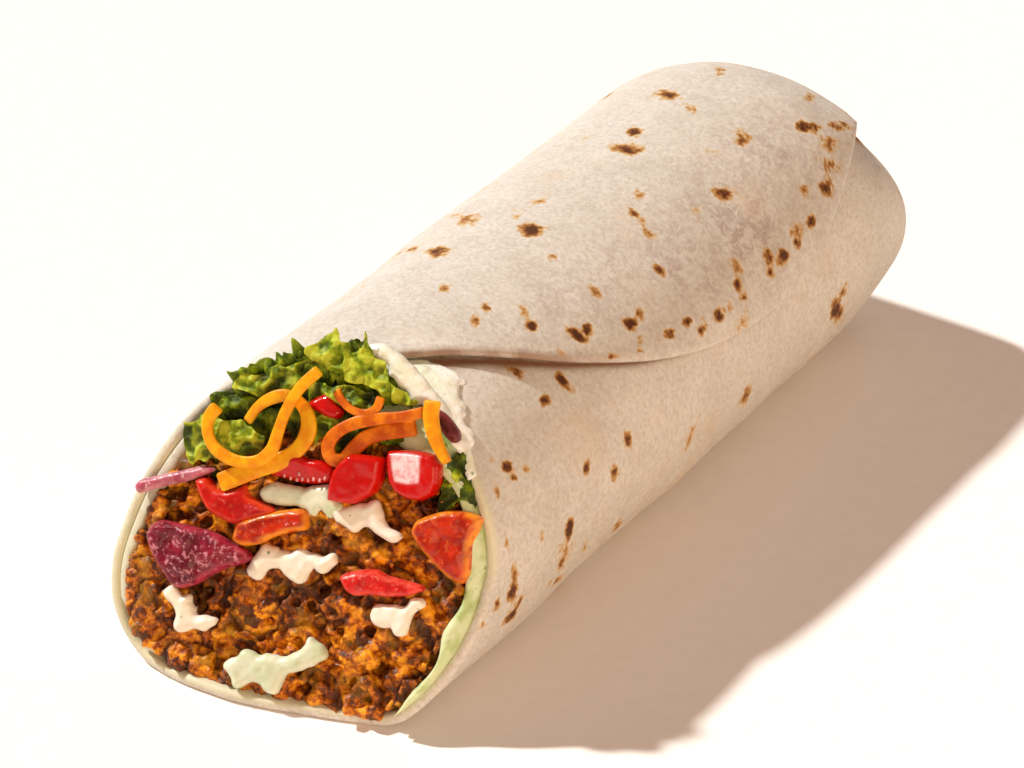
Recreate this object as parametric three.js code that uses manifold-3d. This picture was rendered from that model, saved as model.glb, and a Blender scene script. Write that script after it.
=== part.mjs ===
// Burrito: a flour tortilla rolled round spiced mince, lettuce, cheese, tomato, pepper, onion and cream.
// Millimetres. The roll lies along Y with its open end towards -Y, Z is up, and it rests on Z = 0.
import * as THREE from "three";
import Module from "manifold-3d";

const wasm = await Module();
wasm.setup();

// Driving dimensions of the roll
const LENGTH = 180;
const HALF_WIDTH = 33;
const HALF_HEIGHT = 29.8;
const FLATTENED = 6; // how far the roll sinks on to its flat underside
const FLOOR_BLEND = 2.4; // how softly the sides run into that flat
const ROUNDNESS = 2.1; // 2 is an ellipse, more is squarer
const SHEET = 2; // thickness of the tortilla
const LAYER_GAP = 0.45;
const PIECE_GAP = 0.35; // air between two neighbouring pieces
const STEP_IN = SHEET + LAYER_GAP; // each turn of the sheet lies this far inside the turn round it

// The turns of the sheet, in degrees round the roll from +X over the top
const FLAP_JOIN = 150;
const TURN_CLOSED = 368;
const INNER_END = 585;

// The open end is cut on a slant, and the far end is pinched shut
const SLANT_UP = 34;
const SLANT_SIDE = 12.5;
const CLOSING = 24;
const END_WIDTH = 0.95;
const END_HEIGHT = 0.6;
const END_ROUND = 2.6;
const FILLING_END = 163;
const RIM_BULGE = 3.2; // the rim's lower left side is pressed out
const BULGE_RUN = 18;

// How far the fillings' front faces stand back from the rim, and the crumbs on the mince
const HEAPED = 1.6; // how far the toppings are heaped out of the opening
const MINCE_SET_BACK = 1.9;
const LETTUCE_SET_BACK = 0.4;
const CRUMB_COUNT = 34;
const WALL_CRUMBS = 17;
const CRUMB_SMALL = 5.4;
const CRUMB_LARGE = 8.2;
const CRUMB_THICK = 5;
const CRUMB_DEPTH = -2.4;

// The flap's free edge sweeps down the right side and back up to its far corner
const FLAP_LOW = 17;
const FLAP_LOW_Y = 126;
const FLAP_LOW_RUN = 4;
const FLAP_TOP = 82;
const FLAP_FRONT_RUN = 86;
const FLAP_FAR_RISE = 33;
const FLAP_FAR_RUN = 42;

const SHEET_COLUMNS = 60;
const ROOM_COLUMNS = 40;
const FRONT_COLUMNS = 60;
const FRONT_ROWS = [0, 0.05, 0.11, 0.18, 0.26, 0.36, 0.47, 0.58, 0.69];
const END_ROWS = [0.78, 0.84, 0.89, 0.93, 0.965, 0.985, 1];
const SHEET_ROWS = [...FRONT_ROWS, ...END_ROWS];

// The tortilla's own centre line: the spiral is thicker on its flap side, so its middle is moved across
const CENTRE_X = STEP_IN / 2;
const CENTRE_Z = HALF_HEIGHT - FLATTENED - STEP_IN / 2;
const TURN_WIDTH = HALF_WIDTH - STEP_IN / 2;
const TURN_HEIGHT = HALF_HEIGHT - STEP_IN / 2;

// Small helpers
const radians = THREE.MathUtils.degToRad;
const lerp = THREE.MathUtils.lerp;
const smooth = (low, high, value) => THREE.MathUtils.smoothstep(value, low, high);
const bell = (value, middle, width) => Math.exp(-(((value - middle) / width) ** 2));
const curvePower = (value) => Math.sign(value) * Math.abs(value) ** (2 / ROUNDNESS);

function seededRandom(seed) {
  let state = seed >>> 0;
  return () => {
    state = (state + 0x6d2b79f5) >>> 0;
    let mixed = Math.imul(state ^ (state >>> 15), 1 | state);
    mixed = (mixed + Math.imul(mixed ^ (mixed >>> 7), 61 | mixed)) ^ mixed;
    return ((mixed ^ (mixed >>> 14)) >>> 0) / 4294967296;
  };
}

// Solids: a list of points and a list of faces become one closed body
function solidFrom(points, faces) {
  const build = (triangles) =>
    new wasm.Manifold(
      new wasm.Mesh({
        numProp: 3,
        vertProperties: new Float32Array(points.flatMap((point) => [point.x, point.y, point.z])),
        triVerts: new Uint32Array(triangles.flat()),
      }),
    );
  const body = build(faces);
  return body.volume() > 0 ? body : build(faces.map(([a, b, c]) => [a, c, b]));
}

function largestBody(solid) {
  const bodies = solid.decompose();
  return bodies.reduce((best, body) => (body.volume() > best.volume() ? body : best));
}

// Closed rings one after the other, with a fan of triangles over each end
function loft(rings) {
  const count = rings[0].length;
  const points = rings.flat();
  const faces = [];
  for (let ring = 0; ring + 1 < rings.length; ring += 1) {
    for (let step = 0; step < count; step += 1) {
      const next = (step + 1) % count;
      const near = ring * count;
      const far = near + count;
      faces.push([near + step, far + step, near + next]);
      faces.push([far + step, far + next, near + next]);
    }
  }
  const lastRing = (rings.length - 1) * count;
  const startPoint = points.push(middleOf(rings[0])) - 1;
  const endPoint = points.push(middleOf(rings.at(-1))) - 1;
  for (let step = 0; step < count; step += 1) {
    const next = (step + 1) % count;
    faces.push([startPoint, step, next]);
    faces.push([endPoint, lastRing + next, lastRing + step]);
  }
  return solidFrom(points, faces);
}

// A sheet with thickness: two grids of the same size joined along their four edges
function sheetSolid(outer, inner) {
  const rows = outer.length;
  const columns = outer[0].length;
  const points = [...outer.flat(), ...inner.flat()];
  const skip = rows * columns;
  const faces = [];
  const quad = (a, b, c, d) => faces.push([a, b, c], [b, d, c]);
  for (let row = 0; row + 1 < rows; row += 1) {
    for (let column = 0; column + 1 < columns; column += 1) {
      const corner = row * columns + column;
      quad(corner, corner + columns, corner + 1, corner + columns + 1);
      quad(skip + corner, skip + corner + 1, skip + corner + columns, skip + corner + columns + 1);
    }
  }
  for (let column = 0; column + 1 < columns; column += 1) {
    const last = (rows - 1) * columns + column;
    quad(column, column + 1, skip + column, skip + column + 1);
    quad(last + 1, last, skip + last + 1, skip + last);
  }
  for (let row = 0; row + 1 < rows; row += 1) {
    const left = row * columns;
    const right = left + columns - 1;
    quad(left + columns, left, skip + left + columns, skip + left);
    quad(right, right + columns, skip + right, skip + right + columns);
  }
  return solidFrom(points, faces);
}

// The spiral: how far the outer face of the sheet stands off the roll's base section
function turnOffset(turn) {
  if (turn <= FLAP_JOIN + 360) {
    return STEP_IN * (1 - smooth(FLAP_JOIN, TURN_CLOSED, turn));
  }
  return -STEP_IN * smooth(FLAP_JOIN, TURN_CLOSED, turn - 360);
}

function rimLine(turn) {
  const up = (SLANT_UP * (1 + Math.sin(radians(turn)))) / 2;
  const side = (SLANT_SIDE * (1 + Math.cos(radians(turn)))) / 2;
  const around = ((turn % 360) + 360) % 360;
  const flapSetBack = 5.5 * bell(around, 92, 20);
  const rightForward = 2.4 * bell(around, 32, 20);
  const underSetBack = 3 * bell(around, 282, 30);
  const waves = 0.45 * Math.sin(radians(turn * 5)) + 0.35 * Math.sin(radians(turn * 3 + 60));
  return up + side + flapSetBack - rightForward + underSetBack + waves;
}

function farLine(turn) {
  return LENGTH - 6 * (1 - smooth(40, FLAP_JOIN, turn));
}

function flapEdge(y) {
  if (y < FLAP_LOW_Y) {
    return FLAP_LOW + FLAP_TOP * ((FLAP_LOW_Y - y) / FLAP_FRONT_RUN) ** 2.1;
  }
  const beyondLow = Math.max(y - FLAP_LOW_Y - FLAP_LOW_RUN, 0);
  return FLAP_LOW + FLAP_FAR_RISE * (beyondLow / FLAP_FAR_RUN) ** 1.35;
}

// A point of the roll's section at one place along it, so far off its base section
function rollPoint(turn, y, offset, lowest) {
  const closed = THREE.MathUtils.clamp((y - (LENGTH - CLOSING)) / CLOSING, 0, 1) ** 2;
  const endHeight = lerp(lerp(0.76, 0.7, smooth(45, 70, turn)), END_HEIGHT, smooth(120, 170, turn));
  const ended = THREE.MathUtils.clamp((y - (LENGTH - 5)) / 5, 0, 1) * smooth(120, 170, turn);
  const rounding = END_ROUND * (1 - Math.sqrt(1 - ended ** 2));
  const around = ((turn % 360) + 360) % 360;
  const nearRim = THREE.MathUtils.clamp(1 - (y - rimLine(around)) / BULGE_RUN, 0, 1);
  const bulge = RIM_BULGE * bell(around, 203, 25) * nearRim;
  const across = TURN_WIDTH * (1 - (1 - END_WIDTH) * closed) + offset + bulge - rounding;
  const high = TURN_HEIGHT * (1 - (1 - endHeight) * closed) + offset + bulge - rounding;
  const x = CENTRE_X + across * curvePower(Math.cos(radians(turn)));
  const z = CENTRE_Z + high * curvePower(Math.sin(radians(turn)));
  const blend = Math.max(FLOOR_BLEND - Math.abs(z - lowest), 0) ** 2 / (4 * FLOOR_BLEND);
  return new THREE.Vector3(x, y, Math.max(z, lowest) + blend);
}

// The tortilla is one rolled sheet, shut at its far end by the part that is folded in
function tortillaSheet() {
  const outer = [];
  const inner = [];
  for (const share of SHEET_ROWS) {
    let low = 0;
    let high = 120;
    for (let round = 0; round < 30; round += 1) {
      const turn = (low + high) / 2;
      if (flapEdge(lerp(rimLine(turn), farLine(turn), share)) > turn) {
        low = turn;
      } else {
        high = turn;
      }
    }
    const outerRow = [];
    const innerRow = [];
    for (let column = 0; column <= SHEET_COLUMNS; column += 1) {
      const turn = lerp(low, INNER_END, column / SHEET_COLUMNS);
      const y = lerp(rimLine(turn), farLine(turn), share);
      const floor = turn > 450 ? STEP_IN : 0;
      const offset = turnOffset(turn);
      outerRow.push(rollPoint(turn, y, offset, floor));
      innerRow.push(rollPoint(turn, y, offset - SHEET, floor + SHEET));
    }
    outer.push(outerRow);
    inner.push(innerRow);
  }
  return sheetSolid(outer, inner);
}

// Where the innermost turn has ended, the filling reaches out to the turn round it
const beyondInnerEnd = (around) => smooth(INNER_END - 360 + 9, INNER_END - 360 + 26, around);

function innerFaceOffset(around) {
  const beyond = beyondInnerEnd(around);
  return lerp(turnOffset(around + 360), turnOffset(around), beyond) - SHEET;
}

function innerFloor(around) {
  const covered = around > 90 ? 1 - beyondInnerEnd(around) : 0;
  return SHEET + STEP_IN * covered;
}

// A ring round the inside of the roll, so far from the sheet's inner face
function innerRing(count, yAt, clearance) {
  return Array.from({ length: count }, (_, step) => {
    const around = (360 * step) / count;
    const floor = innerFloor(around) + clearance;
    return rollPoint(around, yAt(around), innerFaceOffset(around) - clearance, floor);
  });
}

function middleOf(points) {
  return points.reduce((sum, point) => sum.add(point), new THREE.Vector3()).multiplyScalar(1 / points.length);
}

function shrunkRing(ring, share, shift) {
  const middle = middleOf(ring);
  return ring.map((point, step) => point.clone().lerp(middle, 1 - share).add(shift(step)));
}

function foldedEnd() {
  const count = 48;
  const intoSheet = -SHEET / 2;
  const rim = innerRing(count, () => LENGTH - 5.5, intoSheet);
  const creases = (step) => 0.5 * Math.sin((step / count) * Math.PI * 10);
  const tuck = (depth) => (step) => new THREE.Vector3(0, depth + creases(step), 0);
  return loft([
    innerRing(count, () => FILLING_END + 2.5, intoSheet),
    innerRing(count, () => LENGTH - 10, intoSheet),
    rim,
    shrunkRing(rim, 0.86, tuck(1.2)),
    shrunkRing(rim, 0.55, tuck(2.2)),
    shrunkRing(rim, 0.25, tuck(2.4)),
  ]);
}

const tortilla = tortillaSheet().add(foldedEnd());

// The opening: a plane through the rim, with u to the right, v up and w out towards the viewer
const slopeAcross = SLANT_SIDE / (2 * HALF_WIDTH);
const slopeUp = SLANT_UP / (2 * HALF_HEIGHT);
const outward = new THREE.Vector3(slopeAcross, -1, slopeUp).normalize();
const rightward = new THREE.Vector3(1, slopeAcross, 0).normalize();
const upward = new THREE.Vector3().crossVectors(outward, rightward);
const openingMiddle = new THREE.Vector3(0, (SLANT_UP + SLANT_SIDE) / 2, HALF_HEIGHT - FLATTENED);

function onOpening(u, v, w) {
  return openingMiddle
    .clone()
    .addScaledVector(rightward, u)
    .addScaledVector(upward, v)
    .addScaledVector(outward, w + HEAPED);
}

// A piece's own point, turned about the way out of the opening and moved to the piece's place there
function placed(at, turned, u, v, w) {
  const across = u * Math.cos(turned) - v * Math.sin(turned);
  const along = u * Math.sin(turned) + v * Math.cos(turned);
  return onOpening(at[0] + across, at[1] + along, at[2] + w);
}

function slantedY(point, setBack) {
  const rise = slopeAcross * point.x + slopeUp * (point.z - openingMiddle.z);
  return openingMiddle.y + rise + setBack;
}

// The room inside the tortilla, from so far behind the rim to the folded end
function fillingRoom(setBack, relief, clearance, seed) {
  const random = seededRandom(seed);
  const count = ROOM_COLUMNS;
  const slantedRing = (behind) => {
    const rough = innerRing(count, () => 30, clearance);
    const roughAt = (around) => rough[Math.round((around * count) / 360)];
    return innerRing(count, (around) => slantedY(roughAt(around), setBack + behind), clearance);
  };
  const bump = () => new THREE.Vector3(0, relief * (random() - 0.6), 0);
  const front = slantedRing(0);
  return loft([
    shrunkRing(front, 0.25, bump),
    shrunkRing(front, 0.5, bump),
    shrunkRing(front, 0.76, bump),
    front,
    slantedRing(BULGE_RUN),
    innerRing(count, () => LENGTH - CLOSING - 10, clearance),
    innerRing(count, () => LENGTH - CLOSING, clearance),
    innerRing(count, () => FILLING_END, clearance + 0.4),
  ]);
}

// Everything above a sloping line across the roll, where the lettuce lies on the mince
function aboveMince(lower) {
  const line = [
    [-45, 34],
    [-24, 35],
    [-8, 40],
    [8, 44],
    [45, 47],
  ];
  const shape = new THREE.Shape();
  shape.moveTo(-45, 90);
  line.forEach(([x, z]) => shape.lineTo(x, z - lower));
  shape.lineTo(45, 90);
  shape.closePath();
  const block = new THREE.ExtrudeGeometry(shape, { depth: 240, bevelEnabled: false });
  block.rotateX(Math.PI / 2);
  block.translate(0, 210, 0);
  return solidOf(block);
}

function solidOf(geometry) {
  const plain = geometry.index ? geometry.toNonIndexed() : geometry;
  const position = plain.getAttribute("position");
  const points = [];
  const known = new Map();
  const corners = [];
  for (let index = 0; index < position.count; index += 1) {
    const point = new THREE.Vector3().fromBufferAttribute(position, index);
    const key = point
      .toArray()
      .map((value) => value.toFixed(4))
      .join(" ");
    if (!known.has(key)) {
      known.set(key, points.push(point) - 1);
    }
    corners.push(known.get(key));
  }
  const faces = [];
  for (let index = 0; index < corners.length; index += 3) {
    const [a, b, c] = corners.slice(index, index + 3);
    if (a !== b && b !== c && c !== a) {
      faces.push([a, b, c]);
    }
  }
  return solidFrom(points, faces);
}

// A diced or chipped piece: a block with rounded corners, sides pressed a little out of true
function lump({ at, size, turn = 0, corner = 4, taper = 0, bend = 0, seed = 1 }, grow = 0) {
  const block = new THREE.BoxGeometry(2, 2, 2, 4, 3, 2);
  const random = seededRandom(seed);
  const lean = [random() - 0.5, random() - 0.5, random() - 0.5].map((value) => value * 0.3);
  const position = block.getAttribute("position");
  const [long, wide, thick] = size.map((value) => value / 2 + grow);
  const turned = radians(turn);
  for (let index = 0; index < position.count; index += 1) {
    const point = new THREE.Vector3().fromBufferAttribute(position, index);
    const reach = Math.max(Math.abs(point.x), Math.abs(point.y), Math.abs(point.z));
    const powers = point.toArray().map((value) => Math.abs(value) ** corner);
    point.multiplyScalar(reach / (powers[0] + powers[1] + powers[2]) ** (1 / corner));
    point.x += lean[0] * point.y * 0.6;
    point.y += lean[1] * point.z * 0.6;
    point.y *= 1 - taper * point.x;
    point.y += bend * (point.x ** 2 - 0.4);
    point.z += lean[2] * point.x * 0.5;
    const u = point.x * long;
    const v = point.y * wide;
    const w = point.z * thick;
    position.setXYZ(index, ...placed(at, turned, u, v, w).toArray());
  }
  return solidOf(block);
}

// A shred: a flat strip that follows its path, with its face towards the viewer
function shred({ path, width, thick = 1.2, steps = 14 }, grow = 0) {
  const curve = new THREE.CatmullRomCurve3(path.map(([u, v, w]) => new THREE.Vector3(u, v, w)));
  const rings = [];
  for (let step = 0; step <= steps; step += 1) {
    const share = step / steps;
    const point = curve.getPointAt(share);
    const along = curve.getTangentAt(share);
    const side = new THREE.Vector3(-along.y, along.x, 0).normalize();
    const half = lerp(width[0], width[1], share) / 2 + grow;
    const depth = thick / 2 + grow;
    const endPush = step === 0 ? -grow : step === steps ? grow : 0;
    const section = [
      [half, 0],
      [half * 0.8, depth],
      [-half * 0.8, depth],
      [-half, 0],
      [-half * 0.8, -depth],
      [half * 0.8, -depth],
    ];
    rings.push(
      section.map(([across, out]) =>
        onOpening(
          point.x + side.x * across + along.x * endPush,
          point.y + side.y * across + along.y * endPush,
          point.z + out,
        ),
      ),
    );
  }
  return loft(rings);
}

// A leaf piece: a thin sheet, wavy along both ways, that rises out of the heap
function leaf({ at, size, turn = 0, rise = 20, ruffle = 1.2, seed = 1 }, grow = 0) {
  const random = seededRandom(seed);
  const phase = [random() * 6, random() * 6, random() * 6];
  const columns = 6;
  const rows = 3;
  const turned = radians(turn);
  const faceAt = (out) =>
    Array.from({ length: rows + 1 }, (_, row) =>
      Array.from({ length: columns + 1 }, (__, column) => {
        const along = column / columns - 0.5;
        const across = row / rows;
        const narrow = 1 - 0.35 * across * Math.abs(along) * 2;
        const u = along * (size[0] + 2 * grow) * narrow;
        const frill = 0.6 * Math.sin(along * 15 + phase[0]) * across;
        const v = lerp(-grow, size[1] + grow, across) + frill;
        const wave = ruffle * (0.3 + across) * Math.sin(along * 11 + phase[1] + across * 2);
        const w = across * Math.sin(radians(rise)) * size[1] + wave + out;
        return placed(at, turned, u, v, w);
      }),
    );
  return sheetSolid(faceAt(0.45 + grow), faceAt(-0.45 - grow));
}

// Toppings at the opening: places and sizes in millimetres on the opening plane
const TOPPINGS = {
  cheese_shred_1: {
    shape: shred,
    colour: 0xffae12,
    path: [
      [-20, 22, 2], [-21.4, 19, 2.4], [-20, 15.6, 2.8], [-15.6, 12.8, 3.4],
      [-11, 14, 3.8], [-9.4, 18.5, 3.8], [-8.2, 24.5, 3.8], [-4, 31, 4],
    ],
    width: [2.8, 2.6],
    steps: 16,
  },
  cheese_shred_2: {
    shape: shred,
    colour: 0xf79a10,
    path: [
      [-16.2, 8.4, 1.7], [-12.4, 11, 1.8], [-7.4, 13.6, 1.8], [-3.4, 18.2, 1.8],
      [-3.2, 22.2, 2], [-6.6, 25, 2], [-11.4, 24.4, 1.8], [-14, 21.4, 1.2],
    ],
    width: [4.4, 2.2],
    steps: 16,
  },
  cheese_shred_3: {
    shape: shred,
    colour: 0xffae12,
    path: [[22, 20.6, 2.6], [19.6, 24.4, 2.8], [18.4, 29, 2.6]],
    width: [2.8, 4.2],
    steps: 5,
  },
  cheese_shred_4: {
    shape: shred,
    colour: 0xf79a10,
    path: [
      [16.6, 28.2, 0.8], [10, 26, 1.6], [4.6, 23.6, 2.4], [0.4, 20.6, 2.4],
      [2.6, 18.4, 1.8], [7, 21.4, 0.6], [10.6, 23, 0.2], [15, 24.8, 0],
    ],
    width: [2.6, 3.2],
    steps: 16,
  },
  cheese_shred_5: {
    shape: shred,
    colour: 0xf0820c,
    path: [[1.6, 30, 1.6], [3.4, 28.6, 2], [6, 28, 2.2], [8.2, 28.8, 2.2], [8.6, 30.6, 2]],
    width: [2.4, 1.8],
    steps: 8,
  },
  tomato_1: {
    shape: lump, colour: 0xd9180c, at: [6, 14, 0.5], size: [9.2, 8.4, 5.2],
    turn: 24, corner: 5, seed: 3,
  },
  tomato_2: {
    shape: lump, colour: 0xd9180c, at: [16.4, 17, 0.3], size: [9, 7.8, 5],
    turn: 6, corner: 6, seed: 5,
  },
  tomato_3: {
    shape: lump, colour: 0xc2140a, at: [-4.4, 14.2, -0.9], size: [11, 5.2, 3.4],
    turn: 4, corner: 3, seed: 7,
  },
  tomato_4: {
    shape: lump, colour: 0x9c0f08, at: [-1.2, 25.6, 0.4], size: [7.4, 4.6, 3.2],
    turn: 20, corner: 4, seed: 9,
  },
  pepper_right: {
    shape: lump, colour: 0xe04a10, at: [23.6, 7.2, -0.1], size: [12, 9.4, 4.4],
    turn: -58, corner: 3.2, taper: 0.34, seed: 11,
  },
  pepper_left: {
    shape: lump, colour: 0xe5541a, at: [-8, 2.8, 0.4], size: [13.4, 5.6, 4.6],
    turn: 24, corner: 3, bend: 0.25, seed: 13,
  },
  pepper_strip_left: {
    shape: lump, colour: 0xdc2410, at: [-17.2, 5.8, -0.3], size: [12.4, 5, 4],
    turn: -24, corner: 3.6, seed: 15,
  },
  pepper_strip_right: {
    shape: lump, colour: 0xe02a20, at: [13.8, -2.6, -0.1], size: [14.4, 4.2, 4.2],
    turn: 2, corner: 2.6, taper: 0.2, seed: 17,
  },
  onion_wedge: {
    shape: lump, colour: 0x8c2452, at: [-19.2, -4.8, 0.3], size: [18.6, 9.6, 5],
    turn: -6, corner: 2.6, taper: 0.28, seed: 19,
  },
  onion_strip: {
    shape: lump, colour: 0xa04468, at: [-23.4, 8.6, 0.3], size: [11, 2.8, 4],
    turn: 24, corner: 3, seed: 21,
  },
  onion_piece: {
    shape: lump, colour: 0x4a2028, at: [21.4, 26.2, -0.2], size: [5.6, 3.8, 3.4],
    turn: -52, corner: 3, seed: 23,
  },
  leaf_right: {
    shape: leaf, colour: 0x7f9a2a, at: [26, 18.4, -1.6], size: [11.5, 5.6],
    turn: -248, rise: 14, ruffle: 0.7, seed: 25,
  },
  cream_on_rim: {
    shape: lump, colour: 0xf0ecd8, at: [11.6, 32.4, -2.8], size: [15, 6.6, 5.4],
    turn: -32, corner: 2.6, seed: 39,
  },
  cream_dollop_1: {
    shape: lump, colour: 0xf0ecd8, at: [-4.8, 8.8, -0.7], size: [12.4, 3.8, 3.2],
    turn: 2, corner: 2.4, seed: 27,
  },
  cream_dollop_2: {
    shape: lump, colour: 0xf0ecd8, at: [10, 7, -0.7], size: [15, 3.8, 3.2],
    turn: -16, corner: 2.4, seed: 29,
  },
  cream_dollop_3: {
    shape: lump, colour: 0xf0ecd8, at: [-3.2, -3.2, -0.6], size: [15, 4.6, 3.4],
    turn: 10, corner: 2.4, bend: -0.2, seed: 31,
  },
  cream_dollop_4: {
    shape: lump, colour: 0xf0ecd8, at: [-20, -14.6, -0.6], size: [10.6, 4.4, 3.4],
    turn: -24, corner: 2.4, seed: 33,
  },
  cream_dollop_5: {
    shape: lump, colour: 0xf0ecd8, at: [17.6, -7.2, -0.6], size: [9.8, 3.8, 3.4],
    turn: 24, corner: 2.4, seed: 35,
  },
  cream_dollop_6: {
    shape: lump, colour: 0xe2e8c0, at: [-2.6, -19.6, -0.5], size: [18, 5.6, 3.6],
    turn: 22, corner: 2.4, seed: 37,
  },
};

// Leaf pieces that the lettuce heap shows at the opening
const LETTUCE_LEAVES = [
  { at: [-19.8, 12.2, -2], size: [11, 6.4], turn: 28, rise: 20, seed: 41 },
  { at: [-16.5, 17.2, -2.2], size: [12, 8], turn: 48, rise: 28, seed: 42 },
  { at: [-10.8, 21, -2.2], size: [14, 10.4], turn: 28, rise: 28, seed: 43 },
  { at: [-2.4, 23.4, -2], size: [14, 11.8], turn: 6, rise: 28, seed: 44 },
  { at: [5.4, 25, -2], size: [11, 8.6], turn: -20, rise: 26, seed: 45 },
  { at: [9, 22.4, -2.2], size: [13, 4.6], turn: 6, rise: 16, seed: 47 },
];

// The cream that lines the sheet's right side, thickest near the top and at its lower end
function creamLining(grow, setBack, far) {
  const columns = 22;
  const thicknessAt = (turn) => {
    const body = 1.9 + 4.2 * bell(turn, 68, 18) + 2.6 * bell(turn, -16, 11);
    return body * smooth(-46, -32, turn) * (1 - smooth(84, 100, turn)) + 0.25;
  };
  const rows = [0, 24, 60, 96];
  const faceAt = (share, extra) =>
    rows.map((along) =>
      Array.from({ length: columns + 1 }, (_, column) => {
        const turn = lerp(-43 - grow * 3, 98 + grow * 3, column / columns);
        const around = (turn + 360) % 360;
        const depth = PIECE_GAP + 0.25 + thicknessAt(turn) * share + extra;
        const floor = innerFloor(around) + depth;
        const start = rollPoint(around, 30, innerFaceOffset(around) - depth, floor);
        const y = slantedY(start, setBack) + (along / 96) * (far - slantedY(start, setBack));
        return rollPoint(around, y, innerFaceOffset(around) - depth, floor);
      }),
    );
  return sheetSolid(faceAt(0, -grow), faceAt(1, grow));
}

// Space in which a filling may stand: inside the sheet, or clear in front of its rim
const roomInside = fillingRoom(-24, 0, PIECE_GAP + 0.2, 1);
const inFront = loft(
  [
    [-12, 0],
    [16, 0],
    [16, 40],
    [-12, 40],
  ].map(([offset, forward]) =>
    Array.from({ length: FRONT_COLUMNS }, (_, step) => {
      const around = (360 * step) / FRONT_COLUMNS;
      return rollPoint(around, rimLine(around) - 1 - forward, offset, offset < 0 ? 14 : 0);
    }),
  ),
);
const freeSpace = roomInside.add(inFront);

// Toppings in front keep their form, and what lies behind gives way to them
const solids = {};
const cutters = [];
for (const [name, topping] of Object.entries(TOPPINGS)) {
  let body = topping.shape(topping).intersect(freeSpace);
  for (const cutter of cutters) {
    body = body.subtract(cutter);
  }
  solids[name] = largestBody(body);
  cutters.push(topping.shape(topping, PIECE_GAP));
}

let lining = creamLining(0, -1.6, 150).intersect(freeSpace);
cutters.forEach((cutter) => {
  lining = lining.subtract(cutter);
});
solids.cream_lining = largestBody(lining);
const liningSpace = creamLining(PIECE_GAP, -8, 156);

let lettuce = fillingRoom(LETTUCE_SET_BACK, 0.8, PIECE_GAP + 0.2, 51).intersect(aboveMince(0));
LETTUCE_LEAVES.forEach((piece) => {
  lettuce = lettuce.add(leaf(piece).intersect(freeSpace));
});
const leafSpace = LETTUCE_LEAVES.map((piece) => leaf(piece, PIECE_GAP));
lettuce = lettuce.subtract(liningSpace);
cutters.forEach((cutter) => {
  lettuce = lettuce.subtract(cutter);
});
solids.lettuce = largestBody(lettuce);

// Crumbs of mince that stand out of the heap, clear of the toppings and of one another
function crumbPlaces() {
  const random = seededRandom(71);
  const lumps = Object.values(TOPPINGS).filter((topping) => topping.shape === lump);
  const places = [];
  const tryPlace = (u, v, wide, nearWall) => {
    const belowLettuce = v < 9 + 0.35 * (u + 20);
    const clearOfLumps = lumps.every(({ at, size, turn = 0 }) => {
      const turned = radians(turn);
      const along = (u - at[0]) * Math.cos(turned) + (v - at[1]) * Math.sin(turned);
      const across = (v - at[1]) * Math.cos(turned) - (u - at[0]) * Math.sin(turned);
      const margin = PIECE_GAP + wide * 0.3;
      return Math.hypot(along / (size[0] / 2 + margin), across / (size[1] / 2 + margin)) > 1;
    });
    const clearOfCrumbs = places.every(
      (other) => Math.hypot(u - other.at[0], v - other.at[1]) > (wide + other.size[0]) * 0.35,
    );
    if (belowLettuce && clearOfLumps && clearOfCrumbs) {
      const size = [wide, wide * 0.78, CRUMB_THICK];
      places.push({ at: [u, v, CRUMB_DEPTH], size, turn: 180 * random(), nearWall });
    }
  };
  for (let step = 0; step < WALL_CRUMBS; step += 1) {
    const around = radians(lerp(168, 322, step / (WALL_CRUMBS - 1)));
    const u = 28.6 * curvePower(Math.cos(around)) - 0.6;
    const v = Math.max(26.5 * curvePower(Math.sin(around)), -22.4);
    tryPlace(u, v, lerp(CRUMB_SMALL, CRUMB_LARGE, random()), true);
  }
  const wallCrumbs = places.length;
  for (let attempt = 0; attempt < 2500 && places.length < wallCrumbs + CRUMB_COUNT; attempt += 1) {
    const u = lerp(-26, 26, random());
    const v = lerp(-22, 12, random());
    if (Math.hypot(u / 26, v / 24) < 1) {
      tryPlace(u, v, lerp(CRUMB_SMALL, CRUMB_LARGE, random()), Math.hypot(u / 26, v / 24) > 0.85);
    }
  }
  return places;
}

function crumb({ at, size, turn }) {
  const ball = new THREE.IcosahedronGeometry(1, 0);
  const position = ball.getAttribute("position");
  const turned = radians(turn);
  for (let index = 0; index < position.count; index += 1) {
    const u = (position.getX(index) * size[0]) / 2;
    const v = (position.getY(index) * size[1]) / 2;
    const w = (position.getZ(index) * size[2]) / 2;
    position.setXYZ(index, ...placed(at, turned, u, v, w).toArray());
  }
  return solidOf(ball);
}

let mince = fillingRoom(MINCE_SET_BACK, 0.6, PIECE_GAP + 0.2, 61).subtract(aboveMince(PIECE_GAP));
crumbPlaces().forEach((place) => {
  mince = mince.add(place.nearWall ? crumb(place).intersect(freeSpace) : crumb(place));
});
mince = mince.subtract(liningSpace);
[...cutters, ...leafSpace].forEach((cutter) => {
  mince = mince.subtract(cutter);
});
solids.mince = largestBody(mince);

solids.tortilla = tortilla;

// Looks of the nodes, and the whole part put with its middle over the origin
const COLOURS = {
  tortilla: 0xe8d8c0,
  mince: 0x8a4a18,
  lettuce: 0x8fae2e,
  cream_lining: 0xe6ecc8,
};

const burrito = new THREE.Group();
for (const [name, solid] of Object.entries(solids)) {
  const { vertProperties, triVerts } = solid.getMesh();
  const geometry = new THREE.BufferGeometry();
  geometry.setAttribute("position", new THREE.BufferAttribute(Float32Array.from(vertProperties), 3));
  geometry.setIndex([...triVerts]);
  const shown = geometry.toNonIndexed();
  shown.computeVertexNormals();
  const colour = COLOURS[name] ?? TOPPINGS[name].colour;
  const material = new THREE.MeshStandardMaterial({ color: colour, roughness: 0.6, metalness: 0 });
  const mesh = new THREE.Mesh(shown, material);
  mesh.name = name;
  burrito.add(mesh);
}

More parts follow.
